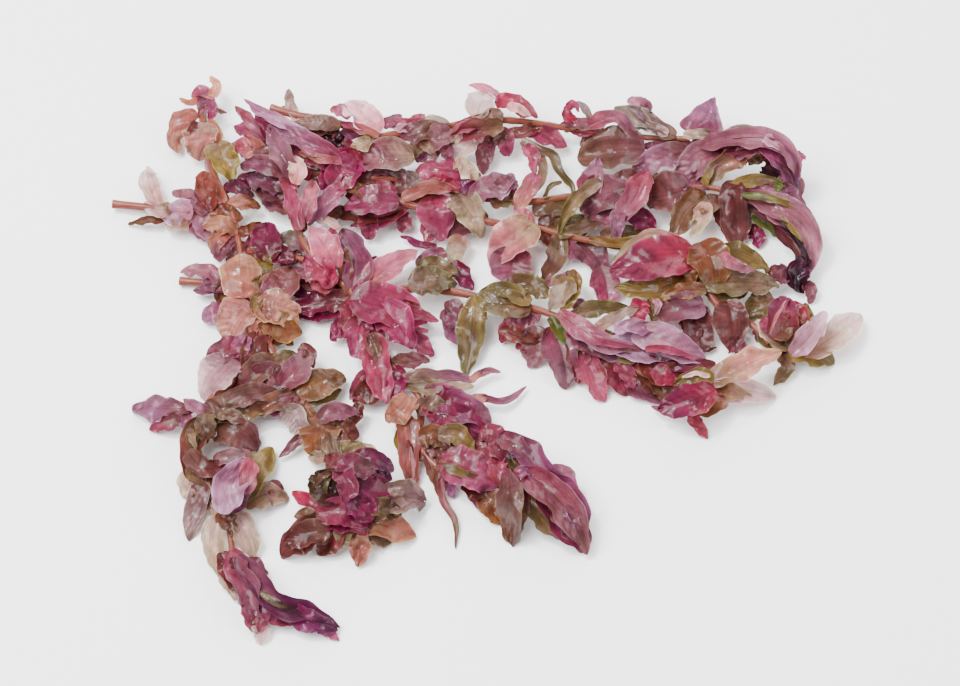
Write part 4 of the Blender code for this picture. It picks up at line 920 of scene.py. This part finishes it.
def ruffle(grid, spec, rng):
    """Adds the wavy margins, the rumples, the creases and the pleats between the veins."""
    along = steps_along()
    across = steps_across()
    down = np.gradient(grid, axis=0)
    over = np.gradient(grid, axis=1)
    normal = unit(np.cross(down, over))
    small = min(1.0, spec["width"] / 22)
    fade = np.clip(along * 5, 0, 1)[:, None]
    margin = np.abs(across[None, :]) ** 2.2
    height = 0
    for share, least, most in ((1.0, 1.6, 3.2), (0.35, 4.5, 7.0)):
        turns = rng.uniform(least, most, 2)
        phases = rng.uniform(0, math.tau, 2)
        left = np.sin(math.tau * turns[0] * along + phases[0])[:, None]
        right = np.sin(math.tau * turns[1] * along + phases[1])[:, None]
        height = height + np.where(across[None, :] < 0, left, right) * margin * spec["wave"] * share
    height = height + wobble(rng, along, across, 4) * spec["rumple"]
    height = height + (creases(rng, along, across) - 0.3) * spec["rumple"] * 1.6
    veins = np.sin(math.tau * 8 * (along[:, None] - 0.22 * np.abs(across[None, :])))
    height = height + veins * spec["pleat"] * (1 - margin) * np.minimum(1, np.abs(across[None, :]) * 4)
    grid = grid + normal * (height * fade * small * MM)[:, :, None]
    grid[:, :, 2] = np.maximum(grid[:, :, 2], LOWEST)
    return grid


def tints(spec, rng):
    """The colour at each point: the blade's own, its margin's and its base's, with soft patches."""
    blade = np.array(LOOKS[spec["look"]])
    base = np.array(LOOKS[spec["base"]]) if spec["base"] else blade * BASE_SHIFT
    along = steps_along()[:, None]
    across = np.abs(steps_across())[None, :]
    patches = wobble(rng, steps_along(), steps_across(), 3)
    to_margin = (np.clip((across - 0.55) / 0.45, 0, 1) ** 1.5 * 0.8
                 + np.clip((along - 0.75) / 0.25, 0, 1) * 0.5)
    to_margin = np.clip(to_margin, 0, 1)[:, :, None]
    reach = 0.55 + 0.12 * patches + 0.1 * (1 - across)
    to_base = np.clip(1 - along / reach, 0, 1)[:, :, None] ** 0.8
    colour = blade * (1 - to_margin) + blade * MARGIN_SHIFT * to_margin
    colour = colour * (1 - to_base) + base * to_base
    warmth = rng.uniform(-1, 1)
    colour = colour * np.array([1 + 0.05 * warmth, 1 + 0.08 * warmth, 1 - 0.13 * warmth])
    shade = rng.uniform(0.80, 1.20) * (1 + 0.20 * patches)
    return np.clip(colour * shade[:, :, None], 0.002, 0.95)


def blade_faces(first):
    """The four-cornered faces of a grid of points, counted from a first point."""
    rows = np.arange(LEAF_ROWS)[:, None] * (LEAF_COLUMNS + 1)
    corner = (first + rows + np.arange(LEAF_COLUMNS)[None, :]).ravel()
    below = corner + LEAF_COLUMNS + 1
    return np.stack([corner, below, below + 1, corner + 1], axis=1)


def kind_of(spec):
    return "clear_leaf" if spec["look"] in CLEAR_LOOKS else "leaf"


def make_leaves(name, specs, grids, materials):
    """One mesh of one or more blades, with their colours and their places along and across."""
    points, faces, colours, places, kinds = [], [], [], [], []
    along = np.repeat(steps_along(), LEAF_COLUMNS + 1)
    across = np.tile(np.linspace(0, 1, LEAF_COLUMNS + 1), LEAF_ROWS + 1)
    per_leaf = (LEAF_ROWS + 1) * (LEAF_COLUMNS + 1)
    used = sorted({kind_of(spec) for spec in specs})
    for i, (spec, grid) in enumerate(zip(specs, grids)):
        rng = leaf_random(spec)
        points.append(ruffle(grid, spec, rng).reshape(-1, 3))
        colours.append(tints(spec, rng).reshape(-1, 3))
        faces.append(blade_faces(i * per_leaf))
        places.append(np.stack([along, across], axis=1))
        kinds.append(np.full(LEAF_ROWS * LEAF_COLUMNS, used.index(kind_of(spec))))
    points = np.concatenate(points)
    colours = np.concatenate(colours)
    mesh = bpy.data.meshes.new(name)
    mesh.from_pydata(points.tolist(), [], np.concatenate(faces).tolist())
    mesh.polygons.foreach_set("material_index", np.concatenate(kinds).astype(np.int32))
    tint = mesh.color_attributes.new("Tint", "FLOAT_COLOR", "POINT")
    tint.data.foreach_set("color", np.column_stack([colours, np.ones(len(colours))]).ravel())
    layer = mesh.uv_layers.new(name="Blade")
    corners = np.zeros(len(mesh.loops), dtype=np.int32)
    mesh.loops.foreach_get("vertex_index", corners)
    layer.data.foreach_set("uv", np.concatenate(places)[corners].ravel())
    for kind in used:
        mesh.materials.append(materials[kind])
    mesh.shade_smooth()
    piece = bpy.data.objects.new(name, mesh)
    bpy.context.scene.collection.objects.link(piece)
    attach(piece, "root")
    return piece


def make_stem(name, route, material):
    """A round juicy stem with a slight swelling at each place where leaves grow."""
    points = [place(*point) for point in route]
    length = float(np.linalg.norm(np.diff(np.array(points), axis=0), axis=1).sum())
    count = max(8, int(length / STEM_STEP))
    middle = smooth_points(points, np.linspace(0, 1, count))
    tangent = unit(np.gradient(middle, axis=0))
    side = unit(np.cross(tangent, np.array([0.0, 0.0, 1.0])))
    up = np.cross(side, tangent)
    along = np.linspace(0, 1, count)
    radius = STEM_RADIUS + (STEM_TIP_RADIUS - STEM_RADIUS) * along
    turns = along * length / STEM_NODE_SPACING
    swelling = 0.12 * np.exp(-((turns - np.round(turns)) * STEM_NODE_SPACING / (1.6 * MM)) ** 2)
    radius = radius * (1.06 + swelling)
    angles = np.linspace(0, math.tau, STEM_SIDES, endpoint=False)
    rings = []
    for angle in angles:
        ridge = 1 + 0.035 * math.cos(angle * 4)
        rings.append(middle + (side * math.cos(angle) + up * math.sin(angle)) * (radius * ridge)[:, None])
    grid = np.stack(rings, axis=1)
    points = grid.reshape(-1, 3).tolist()
    faces = []
    for i in range(count - 1):
        for j in range(STEM_SIDES):
            after = (j + 1) % STEM_SIDES
            corner = i * STEM_SIDES
            faces.append((corner + j, corner + STEM_SIDES + j, corner + STEM_SIDES + after, corner + after))
    for end, ring in ((0, 0), (-1, (count - 1) * STEM_SIDES)):
        points.append((middle[end] - tangent[end] * 0.1 * MM * (1 if end else -1)).tolist())
        for j in range(STEM_SIDES):
            after = (j + 1) % STEM_SIDES
            pair = (ring + after, ring + j) if end else (ring + j, ring + after)
            faces.append((len(points) - 1, *pair))
    mesh = bpy.data.meshes.new("new_" + name)
    mesh.from_pydata(points, [], faces)
    layer = mesh.uv_layers.new(name="Blade")
    for face in mesh.polygons:
        for loop in face.loop_indices:
            index = mesh.loops[loop].vertex_index
            if index < count * STEM_SIDES:
                turn = index % STEM_SIDES / STEM_SIDES
                layer.data[loop].uv = (index // STEM_SIDES * STEM_STEP * 100, abs(turn * 2 - 1))
    mesh.materials.append(material)
    mesh.shade_smooth()
    mesh.set_sharp_from_angle(angle=math.radians(60))
    piece = bpy.data.objects.new("new_" + name, mesh)
    bpy.context.scene.collection.objects.link(piece)
    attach(piece, "root")
    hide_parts(name)
    return piece


class Nodes:
    """Short names for adding and joining the nodes of one material."""

    def __init__(self, name):
        self.material = bpy.data.materials.new(name)
        self.material.use_nodes = True
        self.tree = self.material.node_tree
        self.tree.nodes.clear()

    def add(self, kind, **values):
        node = self.tree.nodes.new(kind)
        for key, value in values.items():
            setattr(node, key, value)
        return node

    def join(self, source, target):
        self.tree.links.new(source, target)

    def put(self, value, socket):
        if isinstance(value, bpy.types.NodeSocket):
            self.join(value, socket)
        else:
            socket.default_value = value

    def math(self, operation, first, second=0.0, clamp=False):
        node = self.add("ShaderNodeMath", operation=operation, use_clamp=clamp)
        self.put(first, node.inputs[0])
        self.put(second, node.inputs[1])
        return node.outputs[0]

    def noise(self, where, scale, detail=3.0, distortion=0.0):
        node = self.add("ShaderNodeTexNoise")
        self.join(where, node.inputs["Vector"])
        node.inputs["Scale"].default_value = scale
        node.inputs["Detail"].default_value = detail
        node.inputs["Distortion"].default_value = distortion
        return node.outputs["Fac"]

    def spread(self, value, low, high, to_low=0.0, to_high=1.0):
        node = self.add("ShaderNodeMapRange", interpolation_type="SMOOTHSTEP")
        self.put(value, node.inputs["Value"])
        node.inputs["From Min"].default_value = low
        node.inputs["From Max"].default_value = high
        node.inputs["To Min"].default_value = to_low
        node.inputs["To Max"].default_value = to_high
        return node.outputs["Result"]

    def mix(self, factor, first, second, blend="MIX"):
        node = self.add("ShaderNodeMix", data_type="RGBA", blend_type=blend)
        self.put(factor, node.inputs["Factor"])
        self.put(first, node.inputs[6])
        self.put(second, node.inputs[7])
        return node.outputs[2]


def leaf_veins(nodes, where):
    """How strongly a vein shows at a point: the midrib, its side veins and the fine net between them."""
    blade = nodes.add("ShaderNodeUVMap", uv_map="Blade").outputs["UV"]
    parts = nodes.add("ShaderNodeSeparateXYZ")
    nodes.join(blade, parts.inputs[0])
    across = nodes.math("SUBTRACT", nodes.math("MULTIPLY", parts.outputs["Y"], 2.0), 1.0)
    across = nodes.math("ABSOLUTE", across)
    phase = nodes.math("SUBTRACT", parts.outputs["X"], nodes.math("MULTIPLY", across, 0.22))
    phase = nodes.math("ADD", phase, nodes.math("MULTIPLY", nodes.noise(where, 300.0), 0.05))
    wave = nodes.math("SINE", nodes.math("MULTIPLY", phase, math.tau * 8))
    side_veins = nodes.math("MULTIPLY", nodes.spread(wave, 0.86, 1.0), 0.5)
    midrib = nodes.spread(across, 0.11, 0.0)
    cells = nodes.add("ShaderNodeTexVoronoi", feature="DISTANCE_TO_EDGE")
    nodes.join(where, cells.inputs["Vector"])
    cells.inputs["Scale"].default_value = 520.0
    net = nodes.math("MULTIPLY", nodes.spread(cells.outputs["Distance"], 0.12, 0.0), 0.3)
    veins = nodes.math("MAXIMUM", side_veins, midrib)
    return nodes.math("MAXIMUM", veins, net), across


def leaf_streaks(nodes, where):
    """Soft streaks along the blade, which lie elsewhere on each leaf."""
    stretch = nodes.add("ShaderNodeMapping")
    nodes.join(nodes.add("ShaderNodeUVMap", uv_map="Blade").outputs["UV"], stretch.inputs["Vector"])
    stretch.inputs["Scale"].default_value = (1.6, 13.0, 1.0)
    shift = nodes.add("ShaderNodeVectorMath", operation="SCALE")
    nodes.join(where, shift.inputs[0])
    shift.inputs["Scale"].default_value = 60.0
    total = nodes.add("ShaderNodeVectorMath", operation="ADD")
    nodes.join(stretch.outputs["Vector"], total.inputs[0])
    nodes.join(shift.outputs[0], total.inputs[1])
    return nodes.noise(total.outputs[0], 1.0, 3.0)


def leaf_colour(nodes, where, veins, across, streaks):
    """The blade's tint with streaks, blotches, brown patches, veins, dark specks and a pale rim that is
    partly painted highlight.
    """
    tint = nodes.add("ShaderNodeAttribute", attribute_name="Tint").outputs["Color"]
    blotches = nodes.noise(where, 240.0, 4.0, 0.6)
    patches = nodes.noise(where, 85.0, 3.0, 0.4)
    browner = nodes.mix(1.0, tint, (0.78, 0.92, 0.62, 1), "MULTIPLY")
    colour = nodes.mix(nodes.spread(patches, 0.50, 0.68, 0.0, 0.7), tint, browner)
    darker = nodes.mix(1.0, colour, (0.58, 0.48, 0.48, 1), "MULTIPLY")
    colour = nodes.mix(nodes.spread(blotches, 0.48, 0.72, 0.0, 0.75), colour, darker)
    paler = nodes.mix(1.0, colour, (1.45, 1.9, 1.75, 1), "MULTIPLY")
    colour = nodes.mix(nodes.spread(blotches, 0.42, 0.28, 0.0, 0.7), colour, paler)
    in_streaks = nodes.mix(1.0, colour, (0.72, 0.58, 0.60, 1), "MULTIPLY")
    colour = nodes.mix(nodes.spread(streaks, 0.46, 0.66, 0.0, 0.8), colour, in_streaks)
    in_veins = nodes.mix(1.0, colour, (0.62, 0.38, 0.36, 1), "MULTIPLY")
    colour = nodes.mix(nodes.math("MULTIPLY", veins, 0.6), colour, in_veins)
    specks = nodes.add("ShaderNodeTexVoronoi")
    nodes.join(where, specks.inputs["Vector"])
    specks.inputs["Scale"].default_value = 190.0
    where_specked = nodes.spread(nodes.noise(where, 60.0), 0.56, 0.62)
    speck = nodes.math("MULTIPLY", nodes.spread(specks.outputs["Distance"], 0.12, 0.05), where_specked)
    colour = nodes.mix(nodes.math("MULTIPLY", speck, 0.8), colour, (0.035, 0.012, 0.012, 1))
    decay = nodes.math("MULTIPLY", nodes.spread(across, 0.80, 1.0), nodes.spread(patches, 0.52, 0.62))
    colour = nodes.mix(nodes.math("MULTIPLY", decay, 0.6), colour, (0.10, 0.045, 0.025, 1))
    # The paler rim is partly the thin margin's own paler colour and partly a painted rim highlight.
    pale_margin_and_rim_highlight = nodes.mix(1.0, colour, (2.1, 3.2, 2.9, 1), "MULTIPLY")
    return nodes.mix(nodes.spread(across, 0.90, 1.0, 0.0, 0.55), colour, pale_margin_and_rim_highlight), tint, blotches


def leaf_material(name, clearness):
    """A thin wet leaf that light shines through, and that shows a little of what is under it."""
    nodes = Nodes(name)
    where = nodes.add("ShaderNodeTexCoord").outputs["Object"]
    veins, across = leaf_veins(nodes, where)
    streaks = leaf_streaks(nodes, where)
    colour, tint, blotches = leaf_colour(nodes, where, veins, across, streaks)
    height = nodes.math("MULTIPLY", nodes.noise(where, 700.0, 1.0), 0.18)
    height = nodes.math("ADD", nodes.math("MULTIPLY", nodes.noise(where, 220.0, 1.0), 0.35), height)
    height = nodes.math("ADD", nodes.math("MULTIPLY", streaks, 0.5), height)
    height = nodes.math("SUBTRACT", height, nodes.math("MULTIPLY", veins, 0.22))
    bump = nodes.add("ShaderNodeBump")
    bump.inputs["Strength"].default_value = 0.45
    bump.inputs["Distance"].default_value = 0.0003
    nodes.join(height, bump.inputs["Height"])
    shader = nodes.add("ShaderNodeBsdfPrincipled")
    nodes.join(colour, shader.inputs["Base Color"])
    nodes.join(nodes.spread(blotches, 0.3, 0.7, 0.34, 0.52), shader.inputs["Roughness"])
    nodes.join(bump.outputs["Normal"], shader.inputs["Normal"])
    nodes.join(bump.outputs["Normal"], shader.inputs["Coat Normal"])
    shader.inputs["Specular IOR Level"].default_value = 0.12
    shader.inputs["Coat Weight"].default_value = 0.38
    shader.inputs["Coat Roughness"].default_value = 0.045
    through = nodes.add("ShaderNodeBsdfTranslucent")
    nodes.join(nodes.mix(0.5, colour, tint), through.inputs["Color"])
    nodes.join(bump.outputs["Normal"], through.inputs["Normal"])
    lit = nodes.add("ShaderNodeMixShader")
    lit.inputs["Fac"].default_value = 0.40
    nodes.join(shader.outputs[0], lit.inputs[1])
    nodes.join(through.outputs[0], lit.inputs[2])
    surface = nodes.add("ShaderNodeOutputMaterial").inputs["Surface"]
    if clearness == 0:
        nodes.join(lit.outputs[0], surface)
        return nodes.material
    pane = nodes.add("ShaderNodeBsdfTransparent")
    nodes.join(nodes.mix(0.45, (0.95, 0.90, 0.88, 1), tint), pane.inputs["Color"])
    leaf_and_pane = nodes.add("ShaderNodeMixShader")
    leaf_and_pane.inputs["Fac"].default_value = clearness
    nodes.join(lit.outputs[0], leaf_and_pane.inputs[1])
    nodes.join(pane.outputs[0], leaf_and_pane.inputs[2])
    nodes.join(leaf_and_pane.outputs[0], surface)
    return nodes.material


def stem_material():
    """A wet stem: brick red to salmon, with pale streaks along it that are painted highlights."""
    nodes = Nodes("stem_skin")
    where = nodes.add("ShaderNodeTexCoord").outputs["Object"]
    blade = nodes.add("ShaderNodeUVMap", uv_map="Blade").outputs["UV"]
    stretch = nodes.add("ShaderNodeMapping")
    nodes.join(blade, stretch.inputs["Vector"])
    stretch.inputs["Scale"].default_value = (0.6, 7.0, 1.0)
    streaks = nodes.noise(stretch.outputs["Vector"], 2.0, 3.0)
    patches = nodes.noise(where, 90.0, 3.0)
    # The pale salmon end of the streaks paints highlights along the stem into its colour.
    colour = nodes.mix(nodes.spread(streaks, 0.36, 0.68), (0.10, 0.020, 0.015, 1), (0.23, 0.060, 0.036, 1))
    colour = nodes.mix(nodes.spread(patches, 0.45, 0.7, 0.0, 0.7), colour, (0.11, 0.034, 0.014, 1))
    shader = nodes.add("ShaderNodeBsdfPrincipled")
    nodes.join(colour, shader.inputs["Base Color"])
    nodes.join(nodes.spread(patches, 0.3, 0.7, 0.22, 0.42), shader.inputs["Roughness"])
    shader.inputs["Specular IOR Level"].default_value = 0.15
    shader.inputs["Coat Weight"].default_value = 0.15
    shader.inputs["Coat Roughness"].default_value = 0.06
    shader.inputs["Subsurface Weight"].default_value = 0.2
    shader.inputs["Subsurface Radius"].default_value = (0.0012, 0.0004, 0.0003)
    shader.inputs["Subsurface Scale"].default_value = 1.0
    bump = nodes.add("ShaderNodeBump")
    bump.inputs["Strength"].default_value = 0.4
    bump.inputs["Distance"].default_value = 0.0004
    nodes.join(streaks, bump.inputs["Height"])
    nodes.join(bump.outputs["Normal"], shader.inputs["Normal"])
    nodes.join(shader.outputs[0], nodes.add("ShaderNodeOutputMaterial").inputs["Surface"])
    return nodes.material


def floor_material():
    nodes = Nodes("pale_floor")
    shader = nodes.add("ShaderNodeBsdfPrincipled")
    shader.inputs["Base Color"].default_value = (0.92, 0.92, 0.93, 1)
    shader.inputs["Roughness"].default_value = 0.7
    shader.inputs["Specular IOR Level"].default_value = 0.2
    nodes.join(shader.outputs[0], nodes.add("ShaderNodeOutputMaterial").inputs["Surface"])
    return nodes.material


def add_softbox(name, spot, size, power):
    light = bpy.data.lights.new(name, "AREA")
    light.size = size
    light.energy = power
    lamp = bpy.data.objects.new(name, light)
    lamp.location = spot
    lamp.rotation_euler = (-Vector(spot)).to_track_quat("-Z", "Y").to_euler()
    bpy.context.scene.collection.objects.link(lamp)


def add_stage():
    """A plain pale floor, soft light from above and the camera at the picture's angle."""
    bpy.ops.mesh.primitive_plane_add(size=6)
    floor = bpy.context.object
    floor.name = "floor"
    floor.data.materials.append(floor_material())
    world = bpy.data.worlds.new("studio")
    world.use_nodes = True
    world.node_tree.nodes["Background"].inputs["Color"].default_value = (1, 1, 1, 1)
    world.node_tree.nodes["Background"].inputs["Strength"].default_value = WORLD_LIGHT
    bpy.context.scene.world = world
    add_softbox("softbox_above", (-0.50, -0.05, 1.00), 0.80, 32.0)
    add_softbox("softbox_right", (0.80, -0.15, 0.55), 0.70, 9.0)
    add_softbox("softbox_behind", (0.25, 0.95, 0.45), 0.70, 10.0)
    add_softbox("window_left", (-0.40, 0.15, 1.05), 0.14, 9.0)
    add_softbox("window_behind", (-0.05, 0.60, 0.90), 0.10, 3.5)
    camera = bpy.data.objects.new("camera", bpy.data.cameras.new("camera"))
    camera.data.sensor_width = SENSOR_WIDTH
    camera.data.lens = SENSOR_WIDTH * VIEW_DISTANCE / PIXEL_SIZE / PICTURE_SIZE[0]
    back = Vector((0, -math.cos(VIEW_ELEVATION), math.sin(VIEW_ELEVATION)))
    camera.location = Vector(AIM) + back * VIEW_DISTANCE
    camera.rotation_euler = (math.pi / 2 - VIEW_ELEVATION, 0, 0)
    bpy.context.scene.collection.objects.link(camera)
    bpy.context.scene.camera = camera


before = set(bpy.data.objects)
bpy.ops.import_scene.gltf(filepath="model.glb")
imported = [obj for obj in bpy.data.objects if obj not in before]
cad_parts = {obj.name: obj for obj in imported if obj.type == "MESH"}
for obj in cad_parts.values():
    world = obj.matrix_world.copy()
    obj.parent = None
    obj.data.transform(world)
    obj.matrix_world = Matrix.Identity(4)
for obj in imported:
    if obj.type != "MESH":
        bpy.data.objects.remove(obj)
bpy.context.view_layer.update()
add_stage()
leaf_materials = {"leaf": leaf_material("leaf", 0), "clear_leaf": leaf_material("clear_leaf", 0.15)}
skin = stem_material()
for stem_name, stem_route in STEMS.items():
    make_stem(stem_name, stem_route, skin)
for node_name, spec in OWN_LEAVES.items():
    node_tree = BVHTree.FromObject(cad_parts[node_name], bpy.context.evaluated_depsgraph_get())
    piece = make_leaves("new_" + node_name, [spec], [blade_on_node(spec, node_tree)], leaf_materials)
    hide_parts(node_name)
for tip_name, specs in TIP_LEAVES.items():
    piece = make_leaves("new_" + tip_name, specs, [swept_blade(spec) for spec in specs], leaf_materials)
    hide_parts(tip_name)
GROUPS = {"leaves_left_shoot": (left_shoot_leaves, "leaf_salmon"),
          "leaves_crown": (crown_leaves, "leaf_pink"),
          "leaves_top": (top_leaves, "leaf_mauve"), "leaves_behind": (behind_leaves, "leaf_mauve"),
          "leaves_upper": (upper_leaves, "leaf_brown"), "leaves_middle": (middle_leaves, "leaf_olive"),
          "leaves_lower": (lower_leaves, "leaf_pink"), "leaves_left": (left_leaves, "leaf_brown")}
for group_name, (list_leaves, group_slot) in GROUPS.items():
    group = list_leaves()
    make_leaves(group_name, group, [swept_blade(spec) for spec in group], leaf_materials)

bpy.context.view_layer.update()
